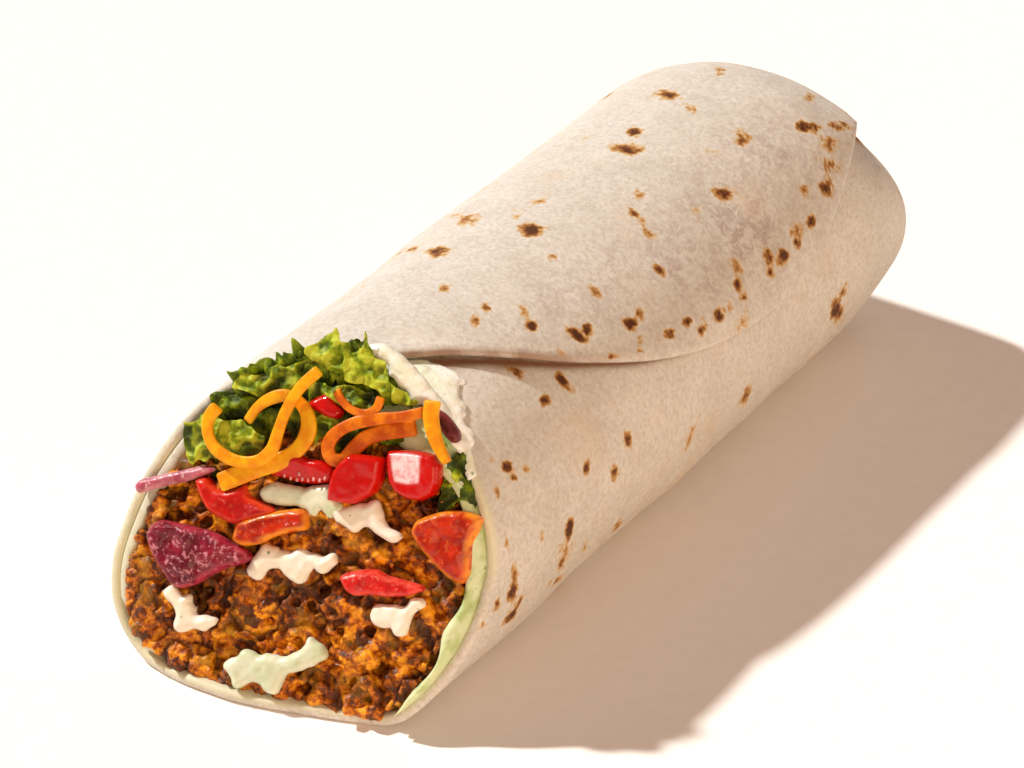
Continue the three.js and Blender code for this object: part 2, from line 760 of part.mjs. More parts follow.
const extent = new THREE.Box3().setFromObject(burrito);
const middle = extent.getCenter(new THREE.Vector3());
burrito.children.forEach((mesh) => mesh.geometry.translate(-middle.x, -middle.y, -extent.min.z));

export default burrito;
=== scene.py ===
"""Burrito: a rolled flour tortilla, with mince, lettuce, cheese, tomato and cream at its open end."""

import itertools
import math

import bmesh
import bpy
import numpy as np
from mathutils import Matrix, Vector


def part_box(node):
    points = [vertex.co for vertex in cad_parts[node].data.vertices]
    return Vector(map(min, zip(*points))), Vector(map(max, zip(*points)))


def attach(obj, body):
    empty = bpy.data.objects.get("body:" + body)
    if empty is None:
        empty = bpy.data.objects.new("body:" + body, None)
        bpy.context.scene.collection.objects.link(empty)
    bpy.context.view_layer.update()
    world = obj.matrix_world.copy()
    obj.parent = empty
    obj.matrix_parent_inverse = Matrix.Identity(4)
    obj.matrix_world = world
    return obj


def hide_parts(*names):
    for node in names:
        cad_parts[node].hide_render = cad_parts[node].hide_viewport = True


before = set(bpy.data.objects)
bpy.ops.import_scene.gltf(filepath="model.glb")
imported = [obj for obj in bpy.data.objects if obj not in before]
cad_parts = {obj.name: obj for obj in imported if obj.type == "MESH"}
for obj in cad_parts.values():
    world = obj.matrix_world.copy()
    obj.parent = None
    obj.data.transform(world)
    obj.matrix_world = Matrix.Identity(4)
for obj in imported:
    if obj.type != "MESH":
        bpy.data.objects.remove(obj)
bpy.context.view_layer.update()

# Driving dimensions of the roll, in millimetres. The roll lies along Y with its open end towards -Y
LENGTH = 180.0
HALF_WIDTH = 33.0
HALF_HEIGHT = 29.8
FLATTENED = 6.0
FLOOR_BLEND = 2.4
ROUNDNESS = 2.1
SHEET = 2.0
LAYER_GAP = 0.45
PIECE_GAP = 0.35
STEP_IN = SHEET + LAYER_GAP

# The turns of the sheet, in degrees round the roll from +X over the top
FLAP_JOIN = 150.0
TURN_CLOSED = 368.0
INNER_END = 585.0

# The open end is cut on a slant, and the far end is pinched shut
SLANT_UP = 34.0
SLANT_SIDE = 12.5
CLOSING = 24.0
END_WIDTH = 0.95
END_HEIGHT = 0.6
END_ROUND = 2.6
FILLING_END = 163.0
RIM_BULGE = 3.2
BULGE_RUN = 18.0
HEAPED = 1.6

# The flap's free edge
FLAP_LOW = 17.0
FLAP_LOW_Y = 126.0
FLAP_LOW_RUN = 4.0
FLAP_TOP = 82.0
FLAP_FRONT_RUN = 86.0
FLAP_FAR_RISE = 33.0
FLAP_FAR_RUN = 42.0

CENTRE_X = STEP_IN / 2
CENTRE_Z = HALF_HEIGHT - FLATTENED - STEP_IN / 2
TURN_WIDTH = HALF_WIDTH - STEP_IN / 2
TURN_HEIGHT = HALF_HEIGHT - STEP_IN / 2
# One degree round the roll, and a first guess of the opening's place along the roll
MM_PER_DEGREE = math.radians(1) * HALF_WIDTH
FIRST_Y = 30.0
# The photograph's camera, fitted to the roll's outline
VIEW_AZIMUTH = 33.3
VIEW_ELEVATION = 32.4
VIEW_TARGET = np.array([0.0, 90.0, 30.0])
VIEW_DISTANCE = 815.0
FOCAL_PIXELS = 4500.0
PHOTO_WIDTH = 1024
PHOTO_HEIGHT = 768
PICTURE_RIGHT = 8
PICTURE_UP = 36
SENSOR = 36.0


# Small helpers
def lerp(low, high, share):
    return low + (high - low) * share


def smooth(low, high, value):
    share = np.clip((value - low) / (high - low), 0, 1)
    return share * share * (3 - 2 * share)


def bell(value, middle, width):
    return np.exp(-(((value - middle) / width) ** 2))


def curve_power(value):
    return np.sign(value) * np.abs(value) ** (2 / ROUNDNESS)


def unit(vector):
    return vector / np.linalg.norm(vector)


def dome(share, least=0.0):
    """The height of a quarter circle: 0 where the share is 0, and 1 from 1 on."""
    return np.sqrt(np.clip(1 - (1 - np.clip(share, 0, 1)) ** 2, least, 1))


def turned(across, up, angle):
    """The same place along two axes that are turned by an angle."""
    return across * math.cos(angle) + up * math.sin(angle), up * math.cos(angle) - across * math.sin(angle)


def value_noise(points, size, seed):
    """Smooth noise from -1 to 1 whose bumps are about the given size."""
    scaled = np.asarray(points, float) / size
    cell = np.floor(scaled).astype(np.int64)
    part = scaled - cell
    part = part * part * (3 - 2 * part)
    total = np.zeros(cell.shape[:-1])
    for corner in itertools.product((0, 1), repeat=3):
        x, y, z = np.moveaxis(cell + np.array(corner), -1, 0)
        mixed = x * 73856093 ^ y * 19349663 ^ z * 83492791
        mixed = (mixed ^ (seed * 40503)) * 668265263
        mixed = (mixed ^ (mixed >> 15)) * 374761393
        value = ((mixed ^ (mixed >> 13)) & 0xFFFF) / 32767.5 - 1
        total += value * np.prod(np.where(corner, part, 1 - part), axis=-1)
    return total


def noise_over(size, seed, *places):
    """The same noise at places given by three numbers or grids."""
    return value_noise(np.stack(np.broadcast_arrays(*places), axis=-1), size, seed)


def curve_between(before, start, end, after, share):
    """A point on the round curve from start to end, which also heeds the points before and after."""
    return 0.5 * (
        2 * start + (end - before) * share
        + (2 * before - 5 * start + 4 * end - after) * share**2
        + (3 * start - before - 3 * end + after) * share**3
    )


# The roll's section: the same spiral that the solid model has
def turn_offset(turn):
    first = STEP_IN * (1 - smooth(FLAP_JOIN, TURN_CLOSED, turn))
    second = -STEP_IN * smooth(FLAP_JOIN, TURN_CLOSED, turn - 360)
    return np.where(turn <= FLAP_JOIN + 360, first, second)


def rim_line(turn):
    angle = np.radians(turn)
    around = turn % 360
    up = SLANT_UP * (1 + np.sin(angle)) / 2
    side = SLANT_SIDE * (1 + np.cos(angle)) / 2
    set_back = 5.5 * bell(around, 92, 20) - 2.4 * bell(around, 32, 20) + 3 * bell(around, 282, 30)
    waves = 0.45 * np.sin(angle * 5) + 0.35 * np.sin(angle * 3 + math.radians(60))
    return up + side + set_back + waves


def far_line(turn):
    return LENGTH - 6 * (1 - smooth(40, FLAP_JOIN, turn))


def flap_edge(y):
    front = FLAP_LOW + FLAP_TOP * (np.maximum(FLAP_LOW_Y - y, 0) / FLAP_FRONT_RUN) ** 2.1
    beyond_low = np.maximum(y - FLAP_LOW_Y - FLAP_LOW_RUN, 0)
    back = FLAP_LOW + FLAP_FAR_RISE * (beyond_low / FLAP_FAR_RUN) ** 1.35
    return np.where(y < FLAP_LOW_Y, front, back)


def roll_point(turn, y, offset, lowest):
    turn, y = np.broadcast_arrays(np.asarray(turn, float), np.asarray(y, float))
    closed = np.clip((y - (LENGTH - CLOSING)) / CLOSING, 0, 1) ** 2
    near_height = lerp(0.76, 0.7, smooth(45, 70, turn))
    end_height = lerp(near_height, END_HEIGHT, smooth(120, 170, turn))
    ended = np.clip((y - (LENGTH - 5)) / 5, 0, 1) * smooth(120, 170, turn)
    rounding = END_ROUND * (1 - np.sqrt(1 - ended**2))
    around = turn % 360
    near_rim = np.clip(1 - (y - rim_line(around)) / BULGE_RUN, 0, 1)
    bulge = RIM_BULGE * bell(around, 203, 25) * near_rim
    across = TURN_WIDTH * (1 - (1 - END_WIDTH) * closed) + offset + bulge - rounding
    high = TURN_HEIGHT * (1 - (1 - end_height) * closed) + offset + bulge - rounding
    x = CENTRE_X + across * curve_power(np.cos(np.radians(turn)))
    z = CENTRE_Z + high * curve_power(np.sin(np.radians(turn)))
    blend = np.maximum(FLOOR_BLEND - np.abs(z - lowest), 0) ** 2 / (4 * FLOOR_BLEND)
    return np.stack([x, y, np.maximum(z, lowest) + blend], axis=-1)


def beyond_inner_end(around):
    return smooth(INNER_END - 360 + 1.5, INNER_END - 360 + 10, around)


def inner_face_offset(around):
    return lerp(turn_offset(around + 360), turn_offset(around), beyond_inner_end(around)) - SHEET


def inner_floor(around):
    covered = np.where(around > 90, 1 - beyond_inner_end(around), 0)
    return SHEET + STEP_IN * covered


def inner_ring(around, y, clearance):
    floor = inner_floor(around) + clearance
    return roll_point(around, y, inner_face_offset(around) - clearance, floor)


# The opening: a plane through the rim, with u to the right, v up and w out towards the viewer
SLOPE_ACROSS = SLANT_SIDE / (2 * HALF_WIDTH)
SLOPE_UP = SLANT_UP / (2 * HALF_HEIGHT)
OUTWARD = unit(np.array([SLOPE_ACROSS, -1, SLOPE_UP]))
RIGHTWARD = unit(np.array([1, SLOPE_ACROSS, 0]))
UPWARD = np.cross(OUTWARD, RIGHTWARD)
OPENING = np.array([0, (SLANT_UP + SLANT_SIDE) / 2, HALF_HEIGHT - FLATTENED])
ALONG_ROLL = np.array([RIGHTWARD[1], UPWARD[1], OUTWARD[1]])


def on_opening(uvw):
    u, v, w = np.moveaxis(np.asarray(uvw, float), -1, 0)
    return OPENING + u[..., None] * RIGHTWARD + v[..., None] * UPWARD + (w + HEAPED)[..., None] * OUTWARD


def from_opening(points):
    local = points - OPENING
    return np.stack([local @ RIGHTWARD, local @ UPWARD, local @ OUTWARD - HEAPED], axis=-1)


def placed(local, at, turn):
    """Turns a piece's own points about the way out of the opening and moves them to the piece's place."""
    u, v = turned(local[:, 0], local[:, 1], -math.radians(turn))
    return on_opening(np.stack([at[0] + u, at[1] + v, at[2] + local[:, 2]], axis=-1))


def slanted_y(points, set_back):
    rise = SLOPE_ACROSS * points[..., 0] + SLOPE_UP * (points[..., 2] - OPENING[2])
    return OPENING[1] + rise + set_back


# The photograph's camera
azimuth, elevation = math.radians(VIEW_AZIMUTH), math.radians(VIEW_ELEVATION)
BACK = np.array([
    math.sin(azimuth) * math.cos(elevation),
    -math.cos(azimuth) * math.cos(elevation),
    math.sin(elevation),
])
PICTURE_X = np.array([math.cos(azimuth), math.sin(azimuth), 0.0])
PICTURE_Y = np.cross(BACK, PICTURE_X)


def in_picture(points):
    """Where points of the roll fall in the photograph, in its pixels."""
    local = points - VIEW_TARGET
    away = VIEW_DISTANCE - local @ BACK
    x = PHOTO_WIDTH / 2 + PICTURE_RIGHT + FOCAL_PIXELS * (local @ PICTURE_X) / away
    y = PHOTO_HEIGHT / 2 - PICTURE_UP - FOCAL_PIXELS * (local @ PICTURE_Y) / away
    return x, y


# Outlines of the fillings are read from the photograph's open end, enlarged four times
ENLARGED = 4
ENLARGED_LEFT = 110
ENLARGED_TOP = 310


def read_off(outline, w):
    """Corners read from the enlarged photograph, as (u, v) on the opening at height w."""
    outline = np.array(outline, float)
    right = ENLARGED_LEFT + outline[:, 0] / ENLARGED - PHOTO_WIDTH / 2 - PICTURE_RIGHT
    up = PHOTO_HEIGHT / 2 - PICTURE_UP - ENLARGED_TOP - outline[:, 1] / ENLARGED
    eye = VIEW_TARGET + VIEW_DISTANCE * BACK
    way = right[:, None] * PICTURE_X + up[:, None] * PICTURE_Y - FOCAL_PIXELS * BACK
    reach = ((OPENING - eye) @ OUTWARD + w + HEAPED) / (way @ OUTWARD)
    return from_opening(eye + reach[:, None] * way)[:, :2]


# Where the solid model stands: its box against the same box from the formulas above
low_corner, high_corner = (np.array(corner) * 1000 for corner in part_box("tortilla"))


def design_box():
    turn, y = np.meshgrid(np.linspace(0, 584, 293), np.linspace(0, 1, 181), indexing="ij")
    along = lerp(rim_line(turn), far_line(turn), y)
    kept = flap_edge(along) <= turn
    points = roll_point(turn, along, turn_offset(turn), np.where(turn > 450, STEP_IN, 0))[kept]
    return points.min(axis=0), points.max(axis=0)


design_low, design_high = design_box()
SHIFT = (low_corner + high_corner) / 2 - (design_low + design_high) / 2
SHIFT[2] = low_corner[2] - design_low[2]


# Meshes. A skin is its points, its faces and the values at its points
def in_scene(name, data):
    thing = bpy.data.objects.new(name, data)
    bpy.context.scene.collection.objects.link(thing)
    return thing


def new_piece(name, skin, material, node, slot):
    """An object from a skin in the roll's millimetres, put where the solid model stands."""
    points, faces, values = skin
    mesh = bpy.data.meshes.new(name)
    mesh.from_pydata(((points + SHIFT) / 1000).tolist(), [], [list(face) for face in faces])
    mesh.validate()
    for key, numbers in values.items():
        layer = mesh.attributes.new(key, "FLOAT", "POINT")
        layer.data.foreach_set("value", np.asarray(numbers, np.float32))
    mesh.shade_smooth()
    mesh.materials.append(material)
    piece = in_scene(name, mesh)
    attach(piece, "root")
    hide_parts(node)


def valued(skin, **values):
    """The same skin with these values at its points."""
    return skin[0], skin[1], values


def grid_faces(rows, columns, wrap=False, start=0):
    columns_used = np.arange(columns if wrap else columns - 1)
    row, column = np.meshgrid(np.arange(rows - 1), columns_used, indexing="ij")
    after = (column + 1) % columns
    near = start + row * columns
    faces = np.stack([near + column, near + after, near + columns + after, near + columns + column], axis=-1)
    return faces.reshape(-1, 4)


def joined(parts):
    """Several skins as one."""
    points, faces, values, skip = [], [], {}, 0
    for part_points, part_faces, part_values in parts:
        points.append(part_points)
        faces += [[corner + skip for corner in face] for face in part_faces]
        skip += len(part_points)
        for key, numbers in part_values.items():
            values.setdefault(key, []).append(np.broadcast_to(numbers, len(part_points)))
    values = {key: np.concatenate(numbers) for key, numbers in values.items()}
    return np.concatenate(points), faces, values


def sheet_between(upper, lower):
    """Two grids that meet along their four edges, as one closed skin."""
    rows, columns = upper.shape[:2]
    points = np.concatenate([upper.reshape(-1, 3), lower.reshape(-1, 3)])
    count = rows * columns
    twin = np.arange(count) + count
    border = np.zeros((rows, columns), bool)
    border[[0, -1], :] = True
    border[:, [0, -1]] = True
    twin[border.ravel()] = np.arange(count)[border.ravel()]
    top = grid_faces(rows, columns)
    bottom = twin[top][:, ::-1]
    return points, np.concatenate([top, bottom]).tolist(), {}


def lofted(rings):
    """Closed rings one after the other, with a fan over each end."""
    count = len(rings[0])
    points = np.concatenate([*rings, [rings[0].mean(axis=0)], [rings[-1].mean(axis=0)]])
    faces = grid_faces(len(rings), count, wrap=True).tolist()
    last = (len(rings) - 1) * count
    for step in range(count):
        after = (step + 1) % count
        faces.append([len(points) - 2, after, step])
        faces.append([len(points) - 1, last + step, last + after])
    return points, faces, {}


def remeshed(points, faces, size, rounds=0):
    """Overlapping shapes melted into one skin."""
    mesh = bpy.data.meshes.new("melting")
    mesh.from_pydata(points.tolist(), [], [list(face) for face in faces])
    shape = in_scene("melting", mesh)
    melt = shape.modifiers.new("melt", "REMESH")
    melt.mode = "VOXEL"
    melt.voxel_size = size
    if rounds:
        soften = shape.modifiers.new("soften", "SMOOTH")
        soften.factor = 0.5
        soften.iterations = rounds
    view = bpy.context.evaluated_depsgraph_get()
    made = bpy.data.meshes.new_from_object(shape.evaluated_get(view))
    corners = np.zeros(len(made.vertices) * 3)
    made.vertices.foreach_get("co", corners)
    normals = np.zeros(len(made.vertices) * 3)
    made.vertices.foreach_get("normal", normals)
    sides = [list(face.vertices) for face in made.polygons]
    bpy.data.objects.remove(shape)
    bpy.data.meshes.remove(mesh)
    bpy.data.meshes.remove(made)
    return corners.reshape(-1, 3), sides, normals.reshape(-1, 3)


def unit_ball(detail):
    ball = bmesh.new()
    bmesh.ops.create_icosphere(ball, subdivisions=detail, radius=1)
    points = np.array([corner.co[:] for corner in ball.verts])
    faces = np.array([[corner.index for corner in face.verts] for face in ball.faces])
    ball.free()
    return points, faces


# Materials
class Look:
    """A material that is put together from nodes, measured in millimetres."""

    def __init__(self, name, **sockets):
        self.material = bpy.data.materials.new(name)
        self.material.use_nodes = True
        self.nodes = self.material.node_tree.nodes
        self.links = self.material.node_tree.links
        self.shader = self.nodes["Principled BSDF"]
        for socket, value in sockets.items():
            self.shader.inputs[socket.replace("_", " ")].default_value = value
        self.place = self.nodes.new("ShaderNodeTexCoord").outputs["Object"]

    def link(self, source, target):
        if isinstance(source, (int, float)):
            target.default_value = source
        elif isinstance(source, tuple):
            target.default_value = (*source, 1) if len(source) == 3 else source
        else:
            self.links.new(source, target)

    def noise(self, size, detail=3.0, rough=0.5, twist=0.0):
        node = self.nodes.new("ShaderNodeTexNoise")
        self.links.new(self.place, node.inputs["Vector"])
        node.inputs["Scale"].default_value = 1000 / size
        node.inputs["Detail"].default_value = detail
        node.inputs["Roughness"].default_value = rough
        node.inputs["Distortion"].default_value = twist
        return node.outputs["Fac"]

    def cells(self, size):
        node = self.nodes.new("ShaderNodeTexVoronoi")
        self.links.new(self.place, node.inputs["Vector"])
        node.inputs["Scale"].default_value = 1000 / size
        return node.outputs["Distance"]

    def value(self, name):
        node = self.nodes.new("ShaderNodeAttribute")
        node.attribute_name = name
        return node.outputs["Fac"]

    def math(self, kind, first, second=0.0):
        node = self.nodes.new("ShaderNodeMath")
        node.operation = kind
        self.link(first, node.inputs[0])
        self.link(second, node.inputs[1])
        return node.outputs[0]

    def ranged(self, source, low, high, to_low=0.0, to_high=1.0):
        node = self.nodes.new("ShaderNodeMapRange")
        node.interpolation_type = "SMOOTHSTEP"
        for index, number in enumerate((low, high, to_low, to_high), start=1):
            node.inputs[index].default_value = number
        self.links.new(source, node.inputs[0])
        return node.outputs[0]

    def ramp(self, source, *stops):
        node = self.nodes.new("ShaderNodeValToRGB")
        elements = node.color_ramp.elements
        while len(elements) < len(stops):
            elements.new(0.5)
        for element, (position, colour) in zip(elements, stops):
            element.position = position
            element.color = (*colour, 1)
        self.links.new(source, node.inputs[0])
        return node.outputs[0]

    def mix(self, share, first, second):
        node = self.nodes.new("ShaderNodeMix")
        node.data_type = "RGBA"
        self.link(share, node.inputs[0])
        self.link(first, node.inputs[6])
        self.link(second, node.inputs[7])
        return node.outputs[2]

    def relief(self, *layers):
        """Bumps one over the other, each with its height, its depth in millimetres and its strength."""
        normal = None
        for height, depth, strength in layers:
            node = self.nodes.new("ShaderNodeBump")
            node.inputs["Distance"].default_value = depth / 1000
            node.inputs["Strength"].default_value = strength
            self.link(height, node.inputs["Height"])
            if normal is not None:
                self.link(normal, node.inputs["Normal"])
            normal = node.outputs[0]
        return normal

    def finish(self, colour=None, roughness=None, normal=None):
        for socket, source in (("Base Color", colour), ("Roughness", roughness), ("Normal", normal)):
            if source is not None:
                self.link(source, self.shader.inputs[socket])
        return self.material


def soft_inside(look, weight, radius, size=1.0):
    look.shader.inputs["Subsurface Weight"].default_value = weight
    look.shader.inputs["Subsurface Radius"].default_value = radius
    look.shader.inputs["Subsurface Scale"].default_value = size / 1000


def tortilla_look():
    look = Look("tortilla_dough", Roughness=0.7, Specular_IOR_Level=0.3)
    soft_inside(look, 0.12, (1.0, 0.6, 0.35), 2.5)
    patches = look.noise(26, 3, 0.55)
    mottle = look.noise(2.4, 6, 0.65, 0.6)
    pale = look.ramp(look.noise(9, 4, 0.6), (0.3, (0.585, 0.55, 0.485)), (0.7, (0.67, 0.635, 0.58)))
    greyed = look.mix(look.ranged(mottle, 0.44, 0.6), pale, (0.41, 0.32, 0.285))
    mottled = look.math("MULTIPLY", look.value("mottled"), look.ranged(patches, 0.42, 0.62, 0.25, 0.8))
    colour = look.mix(mottled, pale, greyed)
    grain = look.noise(0.9, 4, 0.7)
    colour = look.mix(look.ranged(grain, 0.47, 0.62, 0.0, 0.34), colour, (0.43, 0.335, 0.275))
    colour = look.mix(look.ranged(grain, 0.47, 0.33, 0.0, 0.34), colour, (0.76, 0.73, 0.68))
    warm = look.ranged(look.noise(17, 3, 0.6, 0.4), 0.56, 0.74, 0.0, 0.35)
    colour = look.mix(warm, colour, (0.62, 0.47, 0.31))
    shape = look.ranged(look.noise(3.2, 3, 0.5, 0.4), 0.25, 0.75, -0.3, 0.3)
    edge = look.math("ADD", shape, look.ranged(look.noise(0.9, 4, 0.6), 0.3, 0.7, -0.14, 0.14))
    marked = look.math("ADD", look.value("toast"), edge)
    scorch = look.ramp(
        marked,
        (0.0, (0.60, 0.43, 0.24)),
        (0.16, (0.50, 0.28, 0.095)),
        (0.36, (0.25, 0.092, 0.018)),
        (0.6, (0.085, 0.022, 0.004)),
    )
    colour = look.mix(look.ranged(marked, -0.22, 0.14), colour, scorch)
    # Painted shadow under the flap's front edge, partly brown toast
    colour = look.mix(look.value("crease"), colour, (0.20, 0.075, 0.022))
    freckle = look.ranged(look.noise(3.1, 5, 0.75, 0.8), 0.70, 0.78, 0.0, 0.5)
    colour = look.mix(freckle, colour, (0.60, 0.33, 0.13))
    wet = look.value("sauce")
    colour = look.mix(wet, colour, (0.66, 0.64, 0.42))
    roughness = look.ranged(wet, 0.0, 1.0, 0.68, 0.38)
    relief = look.relief(
        (look.noise(11, 3, 0.5), 0.9, 0.55),
        (mottle, 0.3, 0.6),
        (look.noise(0.8, 4, 0.65), 0.14, 0.7),
        (look.ranged(marked, -0.2, 0.5), 0.12, 0.5),
    )
    return look.finish(colour, roughness, relief)


def mince_look():
    look = Look(
        "browned_mince", Roughness=0.42, Specular_IOR_Level=0.28, Coat_Weight=0.06, Coat_Roughness=0.2
    )
    grains = look.ranged(look.noise(1.5, 5, 0.65), 0.32, 0.68, -0.46, 0.46)
    tone = look.math("ADD", look.math("MULTIPLY", look.value("tone"), 0.8), grains)
    colour = look.ramp(
        tone,
        (0.0, (0.08, 0.018, 0.001)),
        (0.3, (0.28, 0.060, 0.002)),
        (0.58, (0.56, 0.153, 0.003)),
        (0.95, (0.88, 0.36, 0.009)),
    )
    colour = look.mix(look.ranged(look.noise(4.6, 3, 0.5), 0.5, 0.66, 0, 0.55), colour, (0.23, 0.125, 0.004))
    # Painted shade: the mince darkens to near black in its hollows and the creases between lumps
    colour = look.mix(look.ranged(look.value("cavity"), 0.0, 0.9, 0.0, 0.95), colour, (0.035, 0.007, 0.001))
    roughness = look.ranged(look.noise(1.2, 3, 0.5), 0.35, 0.65, 0.3, 0.6)
    relief = look.relief((look.noise(1.1, 5, 0.65), 0.45, 0.6), (look.noise(0.4, 3, 0.6), 0.12, 0.6))
    return look.finish(colour, roughness, relief)


def lettuce_look():
    look = Look("lettuce_leaf", Roughness=0.5, Specular_IOR_Level=0.2)
    soft_inside(look, 0.1, (0.8, 1.0, 0.12), 1.2)
    # The leaf's own tone, with painted shade: darker in the hollows of the crumpling, paler on its crests
    tone = look.math("ADD", look.value("tip"), look.ranged(look.noise(2.6, 4, 0.6), 0.32, 0.68, -0.42, 0.42))
    colour = look.ramp(
        tone,
        (0.0, (0.46, 0.51, 0.035)),
        (0.3, (0.23, 0.31, 0.006)),
        (0.62, (0.10, 0.155, 0.002)),
        (1.0, (0.022, 0.042, 0.001)),
    )
    colour = look.mix(look.value("shade"), colour, (0.014, 0.022, 0.002))
    relief = look.relief((look.noise(1.5, 4, 0.6), 0.3, 0.5), (look.noise(0.5, 3, 0.6), 0.07, 0.5))
    return look.finish(colour, None, relief)


def cheese_look(name, colour, shaded):
    look = Look(name, Roughness=0.4, Specular_IOR_Level=0.28)
    soft_inside(look, 0.25, (1.0, 0.5, 0.06), 1.6)
    mixed = look.mix(look.ranged(look.noise(3.4, 4, 0.6), 0.38, 0.62), colour, shaded)
    grain = look.noise(0.7, 4, 0.6)
    relief = look.relief((grain, 0.09, 0.6), (look.noise(3.0, 3, 0.5), 0.3, 0.5))
    return look.finish(mixed, look.ranged(grain, 0.3, 0.7, 0.3, 0.5), relief)


def tomato_look(name, skin, flesh, highlight_and_seed_colour):
    look = Look(name, Roughness=0.16, Specular_IOR_Level=0.35, Coat_Weight=0.1, Coat_Roughness=0.12)
    soft_inside(look, 0.1, (1.0, 0.12, 0.05), 1.2)
    veined = look.mix(look.ranged(look.noise(2.6, 5, 0.65, 0.8), 0.5, 0.72, 0.0, 0.6), skin, flesh)
    colour = look.mix(look.math("MULTIPLY", look.value("rim"), 0.3), veined, flesh)
    streaks = look.ranged(look.noise(1.9, 5, 0.7, 1.0), 0.36, 0.56, 0.45, 1.0)
    # Painted highlight: pale pink streaks where light shines on the front dice; the seeds take half of the
    # same pale colour
    colour = look.mix(look.math("MULTIPLY", look.value("pale"), streaks), colour, highlight_and_seed_colour)
    roughness = look.ranged(look.noise(1.2, 3, 0.5), 0.35, 0.7, 0.12, 0.32)
    return look.finish(colour, roughness, look.relief((look.noise(1.8, 4, 0.6), 0.2, 0.6)))


def chip_look(name, body, dark, frost, frosted, rim, cover=0.55):
    """A dried or charred slice: a rough body with paler grains, and a paler rim."""
    look = Look(name, Roughness=0.36, Specular_IOR_Level=0.32, Coat_Weight=0.05, Coat_Roughness=0.25)
    soft_inside(look, 0.08, (1.0, 0.25, 0.15), 1.0)
    colour = look.mix(look.ranged(look.noise(4.0, 4, 0.6), 0.35, 0.65), body, dark)
    grains = look.ranged(look.noise(0.95, 4, 0.7), cover, cover + 0.1, 0.0, frosted)
    colour = look.mix(grains, colour, frost)
    edge = look.math("MULTIPLY", look.value("rim"), look.ranged(look.noise(2.4, 4, 0.6), 0.3, 0.6))
    colour = look.mix(edge, colour, rim)
    relief = look.relief((look.noise(2.2, 4, 0.6), 0.5, 0.6), (grains, 0.12, 0.7))
    return look.finish(colour, look.ranged(grains, 0.0, 1.0, 0.28, 0.5), relief)


def cream_look(name, colour, tinted, uneven=0.3):
    look = Look(name, Roughness=0.38, Specular_IOR_Level=0.4, Coat_Weight=0.08, Coat_Roughness=0.2)
    soft_inside(look, 0.3, (1.0, 0.8, 0.55), 1.6)
    mixed = look.mix(look.ranged(look.noise(5.0, 4, 0.55), 0.38, 0.66), colour, tinted)
    flecks = look.ranged(look.cells(2.3), 0.1, 0.17, 0.75, 0.0)
    kept = look.ranged(look.noise(3.6, 2, 0.5), 0.54, 0.6)
    mixed = look.mix(look.math("MULTIPLY", flecks, kept), mixed, (0.12, 0.24, 0.04))
    relief = look.relief((look.noise(2.6, 3, 0.5), uneven, 0.6), (look.noise(0.8, 3, 0.5), uneven / 5, 0.5))
    return look.finish(mixed, None, relief)


DOUGH = tortilla_look()
MINCE = mince_look()
LEAF = lettuce_look()
CHEESE_BRIGHT = cheese_look("cheese_bright", (0.80, 0.41, 0.004), (0.72, 0.25, 0.002))
CHEESE_DEEP = cheese_look("cheese_deep", (0.74, 0.21, 0.003), (0.50, 0.085, 0.002))
# The third colour is the pale pink of the painted highlight, which the seeds share
TOMATO = tomato_look("tomato_red", (0.50, 0.002, 0.001), (0.60, 0.012, 0.006), (0.86, 0.60, 0.62))
PEPPER_ORANGE = chip_look(
    "pepper_orange", (0.56, 0.025, 0.001), (0.28, 0.007, 0.001), (0.80, 0.17, 0.01), 0.4, (0.82, 0.27, 0.015)
)
PEPPER_RED = chip_look(
    "pepper_red", (0.58, 0.008, 0.003), (0.34, 0.004, 0.002), (0.74, 0.08, 0.03), 0.3, (0.70, 0.06, 0.015)
)
PEPPER_PINK = chip_look(
    "pepper_bright", (0.66, 0.016, 0.012), (0.42, 0.006, 0.005), (0.82, 0.22, 0.17), 0.5, (0.76, 0.08, 0.05)
)
ONION = chip_look(
    "onion_purple", (0.24, 0.008, 0.028), (0.10, 0.003, 0.012), (0.66, 0.25, 0.30), 0.8, (0.42, 0.03, 0.06),
    cover=0.52,
)
ONION_PALE = chip_look(
    "onion_pale", (0.46, 0.08, 0.14), (0.28, 0.03, 0.06), (0.84, 0.56, 0.58), 0.6, (0.62, 0.28, 0.33)
)
ONION_DARK = chip_look(
    "onion_dark", (0.10, 0.012, 0.012), (0.035, 0.006, 0.006), (0.3, 0.06, 0.06), 0.4, (0.2, 0.03, 0.03)
)
CREAM = cream_look("cream_white", (0.84, 0.77, 0.68), (0.80, 0.74, 0.60))
CREAM_GREEN = cream_look("cream_green", (0.68, 0.71, 0.56), (0.55, 0.63, 0.42))
CREAM_LINING = cream_look("cream_lining", (0.62, 0.69, 0.42), (0.36, 0.47, 0.16), 0.8)
CREAM_RIM = cream_look("cream_at_rim", (0.92, 0.90, 0.84), (0.74, 0.76, 0.60), 0.8)
